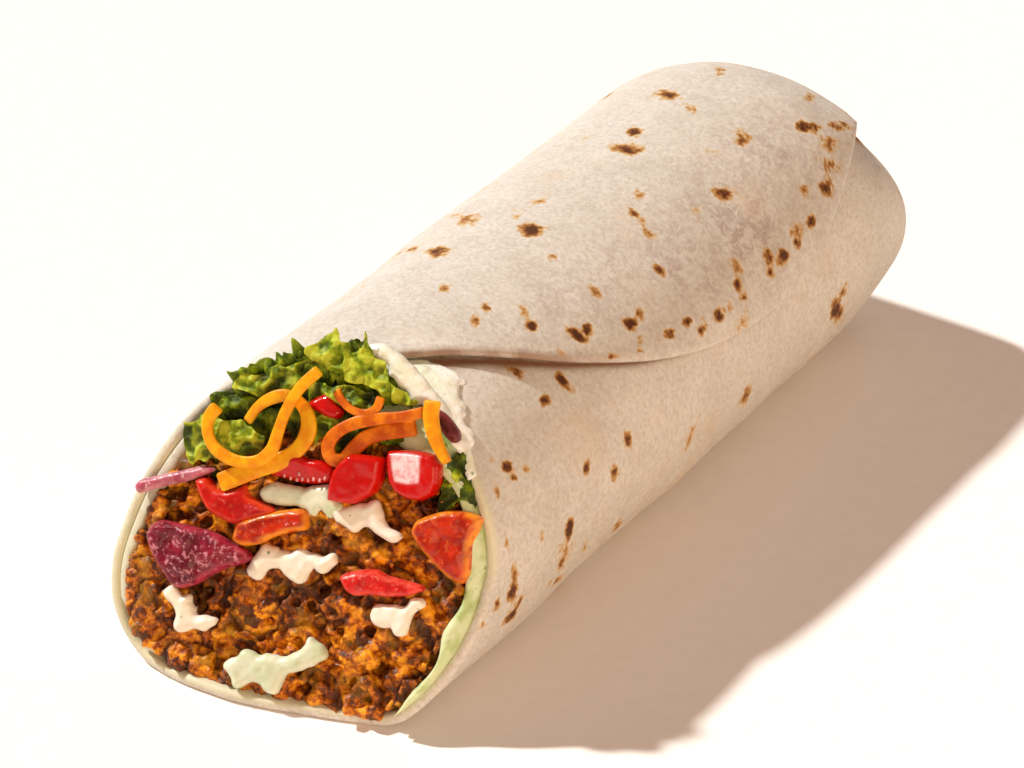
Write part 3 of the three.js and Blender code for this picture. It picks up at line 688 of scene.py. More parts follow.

# Toast marks on the side that the photograph shows, read from it: where each lies in its pixels
# across and down, its width and height in pixels, its lean in degrees clockwise, and how dark it is
TOAST_MARKS = [
    (625, 149, 36, 9, 8, 1.0), (635, 132, 12, 7, 0, 0.8), (530, 230, 28, 10, 4, 1.0),
    (535, 202, 18, 6, 0, 0.55), (467, 219, 31, 9, 0, 0.55), (513, 216, 14, 6, 0, 0.35),
    (437, 252, 26, 8, 0, 0.75), (444, 289, 9, 7, 0, 0.5), (487, 307, 8, 6, 20, 0.7),
    (475, 321, 8, 12, 0, 0.85), (532, 326, 10, 13, -15, 0.95), (522, 311, 11, 8, 0, 0.35),
    (577, 335, 24, 7, 36, 0.95), (587, 329, 9, 14, 0, 0.95), (630, 325, 14, 11, 0, 1.0),
    (641, 314, 7, 14, -20, 0.7), (640, 340, 7, 8, 0, 0.45), (636, 215, 18, 6, 38, 0.75),
    (649, 233, 12, 6, 45, 0.45), (597, 292, 13, 6, 30, 0.7), (556, 255, 12, 6, -20, 0.4),
    (589, 246, 8, 5, 0, 0.35), (640, 192, 10, 12, 0, 0.35), (586, 136, 9, 5, 0, 0.45),
    (659, 269, 17, 6, 50, 0.75), (659, 95, 8, 6, 0, 0.45), (602, 87, 26, 5, -32, 0.35),
    (669, 95, 22, 7, 0, 1.0), (691, 109, 13, 6, 8, 0.6), (719, 72, 12, 6, -8, 0.6),
    (737, 131, 14, 9, 20, 0.55), (743, 139, 11, 14, 0, 0.6), (710, 151, 14, 5, 0, 0.4),
    (724, 194, 31, 10, 8, 0.7), (694, 210, 9, 9, 0, 0.35), (809, 97, 8, 7, 0, 0.4),
    (803, 127, 14, 9, 0, 1.0), (815, 127, 14, 8, 0, 0.8), (839, 126, 26, 7, 0, 0.6),
    (842, 105, 26, 6, 45, 0.7), (829, 144, 18, 17, 0, 0.5), (830, 165, 22, 7, 12, 0.75),
    (825, 190, 17, 8, 58, 1.0), (829, 181, 9, 8, 0, 0.4), (805, 192, 10, 7, 40, 0.4),
    (811, 222, 8, 13, 10, 0.95), (797, 230, 12, 12, 0, 0.5), (797, 243, 7, 7, 0, 0.75),
    (768, 256, 17, 8, 65, 0.95), (784, 256, 9, 13, -10, 0.95), (780, 262, 10, 8, 0, 0.45),
    (770, 273, 9, 9, 30, 0.85), (737, 269, 19, 7, 65, 0.55), (737, 284, 8, 12, -15, 1.0),
    (744, 297, 6, 8, 0, 0.7), (719, 315, 14, 9, 60, 0.95), (729, 305, 6, 10, 0, 0.4),
    (742, 320, 9, 20, 0, 0.4), (687, 322, 10, 9, 50, 0.95), (702, 319, 7, 8, 0, 0.5),
    (702, 330, 7, 9, 0, 0.9), (669, 334, 13, 9, -20, 0.95), (837, 312, 10, 23, 6, 0.95),
    (843, 290, 5, 16, 20, 0.65), (907, 191, 10, 16, 0, 0.75), (914, 219, 6, 14, 0, 0.85),
    (563, 381, 24, 9, 55, 1.0), (544, 400, 10, 8, 20, 0.95), (515, 371, 18, 7, 22, 0.5),
    (628, 441, 6, 16, 0, 0.9), (586, 469, 6, 15, 3, 0.9), (614, 472, 5, 15, 0, 0.9),
    (691, 434, 5, 32, 22, 0.7), (744, 397, 5, 27, 26, 0.65), (507, 467, 10, 10, 20, 0.85),
    (525, 470, 8, 10, 0, 0.6), (515, 477, 5, 6, 0, 0.7), (492, 462, 6, 6, 0, 0.4),
    (496, 492, 4, 10, -12, 0.85), (570, 528, 6, 22, 12, 1.0), (564, 555, 11, 26, 12, 0.6),
    (562, 560, 5, 10, 10, 0.85), (515, 575, 7, 20, 5, 0.85), (512, 592, 8, 16, 20, 0.85),
    (517, 600, 9, 10, 0, 0.6), (511, 615, 6, 22, 36, 0.8), (497, 605, 4, 11, 12, 0.7),
    (556, 582, 5, 16, 48, 0.5), (544, 539, 5, 10, 0, 0.35), (506, 539, 4, 12, 0, 0.35),
    (481, 625, 7, 8, 0, 0.5), (617, 525, 5, 12, 20, 0.45), (457, 604, 5, 6, 0, 0.35),
    (560, 353, 12, 5, 10, 0.75), (612, 356, 10, 4, 0, 0.7), (640, 350, 8, 6, 0, 0.45),
]
MARK_WIDENED = 1.4
MARK_REACH = 50
NO_MARK = -0.6
HIDDEN_MARKS = 46


def inside_mark(along, over, darkness):
    """How far inside a toast mark a point lies: below 0 outside, up to the mark's darkness in its middle."""
    return darkness * (1 - np.hypot(along, over)) - 0.25 * (1 - darkness)


def photo_marks(points, facing):
    """The toast marks that the photograph shows."""
    across, down = in_picture(points)
    field = np.full(len(points), NO_MARK)
    for x, y, width, height, lean, darkness in TOAST_MARKS:
        close = (np.abs(across - x) < MARK_REACH) & (np.abs(down - y) < MARK_REACH)
        near = np.flatnonzero(close & facing)
        along, over = turned(across[near] - x, down[near] - y, math.radians(lean))
        inside = inside_mark(along / (width / 2 + MARK_WIDENED), over / (height / 2 + MARK_WIDENED), darkness)
        field[near] = np.maximum(field[near], inside)
    return field


def hidden_marks(turn, y, random):
    """Toast marks of the same kind on the sides that the photograph doesn't show."""
    field = np.full(turn.shape, NO_MARK)
    for _ in range(HIDDEN_MARKS):
        middle, along_roll = random.uniform(122, 352), random.uniform(22, 172)
        long, wide = random.uniform(1.2, 3.2), random.uniform(0.8, 1.6)
        darkness = random.choice([0.4, 0.6, 0.85, 1.0])
        angle = random.uniform(0, math.pi)
        around = ((turn - middle + 180) % 360 - 180) * MM_PER_DEGREE
        along, over = turned(around, y - along_roll, angle)
        field = np.maximum(field, inside_mark(along / long, over / wide, darkness))
    return field


# The tortilla
EDGE_STEPS = np.array([0.0, 0.1, 0.35, 0.8])
EDGE_ROUND = 0.8
SHEET_LENGTH = 158.0
SHEET_ROWS = 160
FINE_COLUMNS = 190
CREASE_COLUMNS = 32
COARSE_COLUMNS = 44
FINE_TURN = 366.0


def sheet_relief(points):
    """Soft dents and swellings of the dough, the same for the layers that lie on each other."""
    return 0.42 * value_noise(points, 24, 3) + 0.2 * value_noise(points, 9, 5)


def sheet_grid():
    """Each point's turn, its share of the way from the rim to the far end, and its row's first turn."""
    ends = EDGE_STEPS / SHEET_LENGTH
    share = np.concatenate([ends, np.linspace(ends[-1], 1 - ends[-1], SHEET_ROWS)[1:-1], 1 - ends[::-1]])
    low = np.zeros(len(share))
    high = np.full(len(share), 120.0)
    for _ in range(30):
        turn = (low + high) / 2
        beyond = flap_edge(lerp(rim_line(turn), far_line(turn), share)) > turn
        low = np.where(beyond, turn, low)
        high = np.where(beyond, high, turn)
    low = low[:, None]
    steps = EDGE_STEPS / MM_PER_DEGREE
    near_crease = FINE_TURN - 16
    fine = np.concatenate([
        steps,
        np.linspace(steps[-1], near_crease, FINE_COLUMNS)[1:],
        np.linspace(near_crease, FINE_TURN, CREASE_COLUMNS)[1:],
    ])
    turn = np.concatenate([
        low + fine,
        lerp(low + FINE_TURN, INNER_END - steps[-1], np.linspace(0, 1, COARSE_COLUMNS)[1:-1]),
        INNER_END - steps[::-1] + 0 * low,
    ], axis=1)
    return turn, np.broadcast_to(share[:, None], turn.shape), low


def brown_crease(turn, y, base, low):
    """The dark brown line under the flap's front edge and along the edge itself: partly painted shadow cast
    by the flap, partly toast.
    """
    under_flap = (turn - 360 - low) * MM_PER_DEGREE
    width = lerp(1.9, 0.8, smooth(52, 78, y)) * (1 + 0.5 * value_noise(base, 7, 19))
    line = 0.95 * bell(under_flap, -0.6, width) * (1 - 0.75 * smooth(84, 104, y))
    lip = (1 - smooth(0.3, 1.3, (turn - low) * MM_PER_DEGREE)) * (1 - smooth(60, 92, y))
    uneven = np.clip(0.8 + value_noise(base, 4, 29), 0, 1)
    return np.maximum(line, 0.75 * lip * uneven) * (y < FLAP_LOW_Y)


def sheet_values(turn, y, share, low, base, outer):
    """What the sheet shows on its outer and inner face: toast marks, mottling, the line of painted shadow and
    toast at the flap's edge, and sauce.
    """
    angle = np.radians(turn)
    facing = np.stack([np.cos(angle), 0 * y, np.sin(angle)], axis=-1) @ BACK > -0.15
    toast = photo_marks(outer.reshape(-1, 3), facing.ravel()).reshape(turn.shape)
    hidden = hidden_marks(turn, y, np.random.default_rng(17))
    toast = np.maximum(toast, np.where(turn < 480, hidden, NO_MARK))
    around = turn % 360
    from_rim = share * SHEET_LENGTH
    upper_right = 0.9 * smooth(0, 14, around) * (1 - smooth(84, 100, around))
    coated = np.maximum(0.75 * bell(around, 190, 40), upper_right)
    sauce = (1 - smooth(0.4, 2.2, from_rim)) * coated * 0.8
    inner_sauce = (1 - smooth(6, 16, from_rim)) * (0.5 + 0.4 * bell(around, 190, 60))
    near_opening = np.maximum(1 - smooth(62, 100, y), 0.2)
    faces = {
        "toast": (toast, NO_MARK),
        "mottled": (0.22 + 0.78 * np.where(turn < low + 359, bell(turn, 44, 26), near_opening), 0.3),
        "crease": (brown_crease(turn, y, base, low), 0.0),
        "sauce": (sauce, np.maximum(inner_sauce, sauce)),
    }
    return {key: np.stack(np.broadcast_arrays(*pair)).ravel() for key, pair in faces.items()}


def tortilla_sheet():
    turn, share, low = sheet_grid()
    angle = np.radians(turn)
    ragged = 0.35 * noise_over(5, 9, 30 * np.cos(angle), 30 * np.sin(angle), turn / 20) * (1 - share) ** 8
    inner_corner = 4.5 * smooth(INNER_END - 24, INNER_END - 2, turn)
    y = lerp(rim_line(turn) + ragged + inner_corner, far_line(turn), share)
    from_start = (turn - low) * MM_PER_DEGREE
    from_inner_end = (INNER_END - turn) * MM_PER_DEGREE
    from_ends = np.minimum(share, 1 - share) * SHEET_LENGTH
    edge = dome(np.minimum(np.minimum(from_start, from_inner_end), from_ends) / EDGE_ROUND)
    half = SHEET / 2 * edge
    floor = np.where(turn > 450, STEP_IN, 0) + SHEET / 2
    base = np.stack([HALF_WIDTH * np.cos(angle), y, HALF_HEIGHT * np.sin(angle)], axis=-1)
    middle = turn_offset(turn) - SHEET / 2 + sheet_relief(base) * smooth(0, 10, from_ends)
    thin = 0.25 * bell(from_start, 0, 3.0)
    pressed = (LAYER_GAP - 0.03) * smooth(FINE_TURN - 2, FINE_TURN + 8, turn - low) * edge
    outer = roll_point(turn, y, middle + half - thin + pressed, floor - half)
    inner = roll_point(turn, y, middle - half + thin, floor + half)
    return valued(sheet_between(outer, inner), **sheet_values(turn, y, share, low, base, outer))


def folded_end():
    around = np.linspace(0, 360, 144, endpoint=False)
    places = (FILLING_END + 2.5, LENGTH - 10, LENGTH - 5.5)
    rings = [inner_ring(around, y, -SHEET / 2) for y in places]
    rim = rings[-1]
    middle = rim.mean(axis=0)
    for share in (0.97, 0.93, 0.88, 0.8, 0.72, 0.63, 0.54, 0.45, 0.36, 0.27, 0.18, 0.09, 0.03):
        swirl = np.radians(around) * 5 + 3.2 * (1 - share)
        fold = 0.9 * np.abs(np.sin(swirl / 2)) ** 0.6 - 0.55
        depth = 1.9 * (1 - share**6) + 0.3 * (1 - share)
        ring = middle + (rim - middle) * share
        ring[:, 1] += depth + fold * 0.9 * math.sin(math.pi * min(1, share * 1.05)) ** 0.7
        rings.append(ring)
    return lofted(rings)


end = folded_end()
end_relief = value_noise(end[0], 7, 21)
end_toast = np.where(end_relief > 0.55, (end_relief - 0.6) * 1.6, NO_MARK)
tortilla = joined([tortilla_sheet(), valued(end, toast=end_toast, sauce=0.0, crease=0.0, mottled=0.5)])
new_piece("tortilla_roll", tortilla, DOUGH, "tortilla", "tortilla")

# The fillings' bodies behind what shows
MINCE_LINE = [(-45, 34), (-24, 35), (-8, 40), (8, 44), (45, 47)]


def mince_top(x):
    return np.interp(x, [place for place, _ in MINCE_LINE], [height for _, height in MINCE_LINE])


def filling_body(set_back, above_line, clearance, depth=None):
    """The filling's inner mass, below or above the line where the lettuce lies on the mince."""
    around = np.linspace(0, 360, 96, endpoint=False)
    start = inner_ring(around, FIRST_Y, clearance)
    if depth is None:
        steps = [set_back, set_back + BULGE_RUN, None, None]
    else:
        steps = [set_back, set_back + depth]
    rings = []
    for order, step in enumerate(steps):
        if step is None:
            y = LENGTH - CLOSING if order == 2 else FILLING_END
            ring = inner_ring(around, y, clearance + 0.4 * (order - 2))
        else:
            ring = inner_ring(around, slanted_y(start, step), clearance)
        line = mince_top(ring[:, 0])
        over = ring[:, 2] > line
        if above_line:
            ring[:, 0] = np.clip(ring[:, 0], ring[over, 0].min(), ring[over, 0].max())
            ring[:, 2] = np.maximum(ring[:, 2], mince_top(ring[:, 0]))
        else:
            ring[:, 2] = np.minimum(ring[:, 2], line - PIECE_GAP)
        if step is not None:
            ring[:, 1] = slanted_y(ring, step)
        rings.append(ring)
    return lofted(rings)


around_wall = np.linspace(0, 360, 361)
wall_start = inner_ring(around_wall, FIRST_Y, 0.0)
wall = from_opening(inner_ring(around_wall, slanted_y(wall_start, 0), 0.0))
wall_bearing = np.arctan2(wall[:, 1], wall[:, 0]) % (2 * math.pi)
wall_order = np.argsort(wall_bearing)
wall_distance = np.hypot(wall[wall_order, 0], wall[wall_order, 1])
wall_bearing = wall_bearing[wall_order]


def wall_reach(angle):
    """How far the tortilla's inner wall is from the opening's middle, on the opening plane."""
    return np.interp(angle % (2 * math.pi), wall_bearing, wall_distance, period=2 * math.pi)


# Mince: crumbs of small grains, melted together
CRUMB_SPACING = 2.4
CRUMB_TRIES = 9000
CRUMB_CORNERS = ((-34, -29), (34, 23))
CRUMB_REACH = 4
GRAIN_SKIN = 0.37


def lining_at(bearing):
    """The cream lining's thickness at a bearing in degrees from the opening's middle."""
    thick = 1.3 + 4.2 * bell(bearing, 62, 18) + 0.8 * bell(bearing, 14, 14) + 1.9 * bell(bearing, -11, 8)
    return np.where((bearing > -44) & (bearing < 98), thick, 0)


def lining_gap(u, v):
    """How far inside the cream lining's surface a place on the opening is."""
    bearing = np.degrees(np.arctan2(v, u))
    return wall_reach(np.radians(bearing)) - np.hypot(u, v) - lining_at(bearing)


def spilled(bearing):
    """How far the mince spills over the wall: most where the sheet's inner end lies."""
    return 1.9 * bell(bearing % 360, 217, 13) + 0.8 * bell(bearing % 360, 272, 28)


def crumb_places(random):
    bearing = np.arange(-180, 180, 3.6)
    reach = wall_reach(np.radians(bearing)) - lining_at(bearing) - 0.9 + spilled(bearing)
    by_wall = np.column_stack([reach * np.cos(np.radians(bearing)), reach * np.sin(np.radians(bearing))])
    tries = np.concatenate([by_wall, random.uniform(*CRUMB_CORNERS, size=(CRUMB_TRIES, 2))])
    reach = lining_gap(tries[:, 0], tries[:, 1]) + spilled(np.degrees(np.arctan2(tries[:, 1], tries[:, 0])))
    height = OPENING[2] + tries[:, 1] * UPWARD[2]
    tries = tries[(reach > 0.6) & (height < mince_top(tries[:, 0]) - 2.0)]
    places = tries[:1]
    for place in tries[1:]:
        if np.hypot(*(places - place).T).min() > CRUMB_SPACING * 0.85:
            places = np.vstack([places, place])
    bearing, inward = np.meshgrid(np.radians(np.arange(202, 238, 5)), [0.4, 1.9, 3.4, 4.9])
    reach = wall_reach(bearing) - inward
    closing = np.stack([reach * np.cos(bearing), reach * np.sin(bearing)], axis=-1).reshape(-1, 2)
    return np.vstack([places, closing])


def crumb_front(places):
    """How far forward each crumb lies: in clumps, and lower where it meets the wall."""
    flat = np.column_stack([places, np.zeros(len(places))])
    clumps = 1.6 * value_noise(flat, 7.0, 51) + 0.9 * value_noise(flat, 3.4, 52)
    by_wall = 1 - smooth(0.5, 4.0, lining_gap(places[:, 0], places[:, 1]))
    spill = spilled(np.degrees(np.arctan2(places[:, 1], places[:, 0])))
    return -2.0 + clumps * (1 - 0.7 * by_wall) + 0.2 * by_wall + 0.15 * spill * by_wall


def crevice(points, size, seed):
    """1 along the creases between lumps of the given size, falling to 0 on the lumps."""
    return np.clip(1 - 3 * np.abs(value_noise(points, size, seed)), 0, 1) ** 1.5


def crumb_grains(crumbs, random):
    """The small grains that each crumb is made of, kept inside the wall."""
    ball, ball_faces = unit_ball(1)
    for u, v, forward, _ in crumbs:
        crumb = np.array([u, v, forward])
        size = random.uniform(0.9, 1.8)
        for _ in range(random.integers(8, 12)):
            way = random.normal(size=3)
            spot = crumb + way * size * random.uniform(0.3, 1.0) / np.linalg.norm(way)
            grain = random.uniform(0.8, 1.4) * random.uniform(0.75, 1.3, size=3)
            entry = spot[:2] - (spot[2] + HEAPED) / ALONG_ROLL[2] * ALONG_ROLL[:2]
            bearing = math.atan2(entry[1], entry[0])
            over = math.hypot(*entry) + 0.55 - wall_reach(bearing) - spilled(math.degrees(bearing))
            if over > 0:
                spot[:2] -= unit(entry) * over
            yield on_opening(spot + ball * grain), ball_faces, {}


def mince_front():
    random = np.random.default_rng(5)
    places = crumb_places(random)
    forward = crumb_front(places)
    along = (forward + HEAPED) / ALONG_ROLL[2]
    places = places + along[:, None] * ALONG_ROLL[:2]
    crumbs = np.column_stack([places, forward, random.uniform(0, 1, len(places))])
    points, faces, _ = joined([*crumb_grains(crumbs, random), filling_body(1.4, False, 0.3, depth=4.6)])
    points, faces, normals = remeshed(points, faces, GRAIN_SKIN, 2)
    between = crevice(points, 4.2, 35)
    finer = crevice(points, 1.7, 31)
    rough = -0.85 * between - 0.25 * finer + 0.22 * value_noise(points, 0.9, 33)
    front = smooth(-9, -5, from_opening(points)[:, 2])
    points = points + normals * (rough * front)[:, None]
    # Painted shade, deepest in the hollows and along the creases between lumps
    cavity = np.maximum(cavity_of(points), np.maximum(0.75 * between, 0.32 * finer))
    return points, faces, {"tone": nearest_tone(points, crumbs), "cavity": cavity}


# The opening in square cells, over which the mince's height is averaged
CELL = 0.9
CELLS = 100
CELLS_FROM = -40


def cavity_of(points):
    """How deep each point lies behind its neighbours on the opening, from 0 to 1: painted shade that darkens
    the mince in its hollows.
    """
    local = from_opening(points)
    column, row = ((local[:, :2] - CELLS_FROM) / CELL).astype(int).clip(0, CELLS - 1).T
    front = local[:, 2] > -7
    total, count = np.zeros((2, CELLS, CELLS))
    np.add.at(total, (column[front], row[front]), local[front, 2])
    np.add.at(count, (column[front], row[front]), 1)
    for _ in range(3):
        total = sum(np.roll(total, step, axis) for axis in (0, 1) for step in (-1, 0, 1))
        count = sum(np.roll(count, step, axis) for axis in (0, 1) for step in (-1, 0, 1))
    level = (total / np.maximum(count, 1e-9))[column, row]
    return smooth(0.2, 2.2, level - local[:, 2])


def nearest_tone(points, crumbs):
    """The tone of the crumb that each point of the mince belongs to."""
    local = from_opening(points)
    distance = np.full(len(local), 1e9)
    tone = np.zeros(len(local))
    for u, v, w, shade in crumbs:
        near = np.flatnonzero((np.abs(local[:, :2] - (u, v)) < CRUMB_REACH).all(axis=1))
        away = ((local[near] - (u, v, w)) ** 2).sum(axis=1)
        closer = away < distance[near]
        tone[near[closer]] = shade
        distance[near[closer]] = away[closer]
    return tone


mince = joined([mince_front(), valued(filling_body(8.0, False, 0.6), tone=0.3, cavity=0.6)])
new_piece("mince_heap", mince, MINCE, "mince", "mince")

# Lettuce: fans of leaf in the heap, and in front of them leaves with outlines read from the photograph
FANS = [
    # stalk (u, v, w), reach, turn, spread each way, rise out of the heap, waves
    ((-15.5, 16.5, -3.2), 8.5, 60, 46, 20, 1.6),
    ((-13.0, 18.5, -3.4), 10.0, 44, 44, 22, 1.8),
    ((-9.5, 21.0, -3.6), 11.0, 34, 44, 22, 1.9),
    ((-5.5, 23.5, -3.6), 11.5, 20, 42, 22, 1.9),
    ((-2.5, 25.0, -3.6), 12.0, 6, 34, 20, 1.8),
    ((1.0, 26.0, -3.6), 11.0, -8, 38, 20, 1.9),
    ((4.5, 25.0, -3.6), 10.0, -24, 44, 20, 1.9),
    ((9.0, 24.0, -3.6), 6.5, -46, 46, 18, 1.6),
    ((-13.0, 13.5, -2.8), 8.0, 66, 50, 10, 1.4),
    ((-10.0, 15.5, -3.0), 8.5, 30, 50, 12, 1.6),
    ((-5.0, 17.5, -3.0), 9.0, 14, 50, 14, 1.7),
    ((0.5, 19.0, -3.0), 9.0, -4, 48, 14, 1.7),
    ((5.0, 18.5, -3.0), 8.5, -22, 50, 12, 1.6),
    ((10.5, 18.0, -3.0), 7.5, -20, 52, 10, 1.4),
    ((15.5, 18.5, -3.0), 7.0, -30, 50, 10, 1.3),
    ((-18.0, 8.0, -2.6), 7.0, 30, 52, 8, 1.2),
]
FAN_THICK = 0.32
FAN_COLUMNS = 84
FAN_ROWS = 22


def fan_skin(at, reach, turn, spread, rise, waves, seed):
    """A fan of leaf: the closer to its edge, the more the sheet waves."""
    random = np.random.default_rng(seed)
    edge, along = np.meshgrid(np.linspace(-1, 1, FAN_COLUMNS), np.linspace(0, 1, FAN_ROWS))
    spread, rise = math.radians(spread), math.radians(rise)
    across, slice_at = edge * spread * reach, seed * 5.0
    lobes = noise_over(2.6, seed, across, 0, slice_at)
    teeth = noise_over(0.8, seed + 1, across, 0, slice_at)
    outline = 0.2 * lobes + 0.08 * teeth - 0.3 * np.abs(edge) ** 3
    radius = reach * (0.1 + 0.9 * along) * (1 + outline * along**2)
    bearing = edge * spread * (0.5 + 0.5 * along)
    crumple = noise_over(2.9, seed + 2, across, along * reach, slice_at)
    crumple = crumple + 0.4 * noise_over(1.3, seed + 3, across, along * reach, slice_at)
    w = radius * math.sin(rise) + waves * (0.25 + 0.75 * along**2) * crumple - 0.05 * reach * along**3
    v = radius * np.cos(bearing) * math.cos(rise) + 0.3 * waves * along**2 * crumple
    middle = np.stack([radius * np.sin(bearing), v, w], axis=-1)
    side = np.cross(np.gradient(middle, axis=1), np.gradient(middle, axis=0))
    side /= np.linalg.norm(side, axis=-1, keepdims=True) + 1e-9
    to_edge = np.minimum(edge + 1, 1 - edge) * FAN_COLUMNS / 2
    inward = np.minimum(np.minimum(along, 1 - along) * FAN_ROWS, to_edge)
    half = FAN_THICK / 2 * np.clip(inward / 1.5, 0, 1)[..., None]
    points, faces, _ = sheet_between(middle + side * half, middle - side * half)
    # Tone darker towards the edge and at random per fan, with painted shade in the crumpling's hollows; the
    # shade value is painted shade near the stalk
    tip = (0.25 + along * 0.3 + 0.3 * random.uniform() - 0.16 * crumple).ravel()
    shade = (0.85 * (1 - smooth(0.05, 0.6, along))).ravel()
    return placed(points, at, turn), faces, {"tip": np.tile(tip, 2), "shade": np.tile(shade, 2)}


# Soft pieces and slices, as outlines read from the enlarged photograph
def smooth_outline(corners, steps=10, straight=0.0):
    """A closed line through the corners: round, or partly straight for slices with corners."""
    corners = np.array(corners, float)
    before, start = np.roll(corners, 1, axis=0), corners
    end, after = np.roll(corners, -1, axis=0), np.roll(corners, -2, axis=0)
    line = []
    for share in np.linspace(0, 1, steps, endpoint=False):
        curve = curve_between(before, start, end, after, share)
        line.append(lerp(curve, lerp(start, end, share), straight))
    return np.stack(line, axis=1).reshape(-1, 2)


def from_edge(points, outline):
    """How far each point is from the outline, in the plane of the opening."""
    start, end = outline, np.roll(outline, -1, axis=0)
    way = end - start
    length = (way**2).sum(axis=1) + 1e-12
    distance = np.full(len(points), 1e9)
    for (u, v), (across, up), size in zip(start, way, length):
        share = np.clip(((points[:, 0] - u) * across + (points[:, 1] - v) * up) / size, 0, 1)
        beyond = np.hypot(points[:, 0] - u - share * across, points[:, 1] - v - share * up)
        distance = np.minimum(distance, beyond)
    return distance


def within(points, outline):
    inside = np.zeros(len(points), bool)
    for (u0, v0), (u1, v1) in zip(outline, np.roll(outline, -1, axis=0)):
        crosses = (v0 > points[:, 1]) != (v1 > points[:, 1])
        inside ^= crosses & (points[:, 0] < u0 + (points[:, 1] - v0) * (u1 - u0) / (v1 - v0 + 1e-9))
    return inside


def slab_between(outline, thick, size):
    """The outline as a flat slab of even small faces."""
    count = len(outline)
    lower = np.column_stack([outline, np.full(count, -thick / 2)])
    upper = np.column_stack([outline, np.full(count, thick / 2)])
    faces = grid_faces(2, count, wrap=True).tolist()
    faces.append(list(range(count))[::-1])
    faces.append(list(range(count, 2 * count)))
    return remeshed(np.concatenate([lower, upper]), faces, size)


def lean_of(points, outline, tilt):
    """How far out each point comes where a piece is tilted by degrees across and up."""
    return (points[:, :2] - outline.mean(axis=0)) @ np.tan(np.radians(tilt))


LEAVES = [
    # height w, ruffle, tilt across and up, tone from pale to dark, outline
    (0.4, 0.9, (0, 3), 0.26, [
        (786, 158), (824, 132), (862, 104), (894, 92), (918, 78), (926, 122), (948, 134), (982, 116),
        (1004, 130), (1022, 74), (1030, 132), (1060, 190), (1108, 208), (1104, 252), (1128, 292),
        (1156, 322), (1196, 346), (1232, 370), (1206, 392), (1150, 380), (1108, 350), (1050, 322),
        (990, 296), (930, 270), (880, 236), (846, 214), (806, 204),
    ]),
    (0.6, 0.8, (-2, 3), 0.22, [
        (484, 304), (502, 268), (540, 252), (580, 264), (622, 238), (660, 222), (702, 226), (742, 212),
        (792, 196), (846, 206), (852, 238), (806, 262), (766, 290), (722, 316), (690, 340), (646, 330),
        (600, 356), (560, 336), (520, 322),
    ]),
    (0.6, 0.5, (4, 0), 0.24, [
        (286, 486), (300, 452), (346, 438), (364, 416), (402, 410), (440, 436), (486, 440), (544, 452),
        (592, 486), (622, 520), (600, 566), (556, 592), (500, 590), (442, 584), (402, 602), (350, 600),
        (314, 618), (304, 570), (290, 530),
    ]),
    (0.2, 0.8, (0, 0), 0.45, [
        (764, 336), (800, 300), (850, 286), (886, 304), (930, 300), (990, 318), (1060, 344), (1100, 372),
        (1084, 404), (1020, 408), (940, 400), (870, 352), (822, 372), (780, 384),
    ]),
    (0.0, 0.6, (0, 0), 0.25, [
        (800, 436), (838, 408), (884, 426), (914, 462), (880, 484), (852, 520), (822, 540), (806, 490),
    ]),
    (-0.4, 0.7, (0, 0), 0.75, [
        (450, 350), (500, 330), (566, 344), (610, 372), (600, 420), (560, 452), (500, 446), (452, 430),
        (436, 390),
    ]),
    (-0.6, 0.7, (0, 0), 0.7, [
        (900, 560), (930, 500), (990, 470), (1060, 454), (1140, 490), (1250, 480), (1280, 520), (1200, 540),
        (1110, 540), (1040, 530), (980, 570), (920, 590),
    ]),
]
RIGHT_LEAVES = [
    (0.3, 0.4, (-6, 0), 0.4, [
        (1372, 566), (1398, 590), (1396, 640), (1410, 690), (1396, 732), (1384, 782), (1350, 802),
        (1322, 812), (1298, 790), (1312, 740), (1332, 684), (1350, 634), (1360, 596),
    ]),
    (-0.4, 0.6, (-8, 0), 0.85, [
        (1388, 550), (1428, 584), (1432, 640), (1450, 700), (1470, 750), (1468, 792), (1440, 812),
        (1402, 790), (1390, 720), (1404, 670), (1392, 610),
    ]),
]


def ridges(points, size, seed):
    """Sharp-crested folds from -1 to 1."""
    return 1 - 2 * np.clip(2 * np.abs(value_noise(points, size, seed)), 0, 1)


def leaf_skin(w, ruffle, tilt, tone, corners, seed):
    """A crumpled leaf with a jagged edge."""
    outline = smooth_outline(read_off(corners, w), steps=12)
    slice_at = seed * 3.0
    shift = [noise_over(1.3, seed + axis, *outline.T, slice_at) for axis in (0, 1)]
    outline = outline + 0.65 * np.column_stack(shift)
    points, faces, _ = slab_between(outline, 0.7, 0.2)
    distance = from_edge(points, outline)
    flat = np.column_stack([points[:, :2], np.full(len(points), slice_at)])
    crumple = value_noise(flat, 3.8, seed + 2) + 0.6 * ridges(flat, 2.6, seed + 3)
    crumple = crumple + 0.28 * ridges(flat, 1.3, seed + 4)
    thin = 0.3 + 0.7 * smooth(0, 1.2, distance)
    points[:, 2] = w + lean_of(points, outline, tilt) + points[:, 2] * thin + ruffle * crumple
    # Tone paler near the edge, with painted shade in the crumpling's hollows; the shade value darkens the
    # hollows as painted shade too
    tip = tone - 0.22 * crumple - 0.12 * (1 - smooth(0.0, 1.2, distance))
    shade = 0.8 * (1 - smooth(-1.1, 0.0, crumple))
    return on_opening(points), faces, {"tip": tip, "shade": shade}


lettuce = joined([
    *(fan_skin(*fan, seed=41 + order) for order, fan in enumerate(FANS)),
    *(leaf_skin(*leaf, seed=141 + 7 * order) for order, leaf in enumerate(LEAVES)),
    valued(filling_body(6.0, True, 0.8), tip=0.8, shade=0.9),
])
new_piece("lettuce_leaves", lettuce, LEAF, "lettuce", "lettuce")

right_leaf = joined([leaf_skin(*leaf, seed=241 + 7 * order) for order, leaf in enumerate(RIGHT_LEAVES)])
new_piece("leaf_at_right", right_leaf, LEAF, "leaf_right", "lettuce")

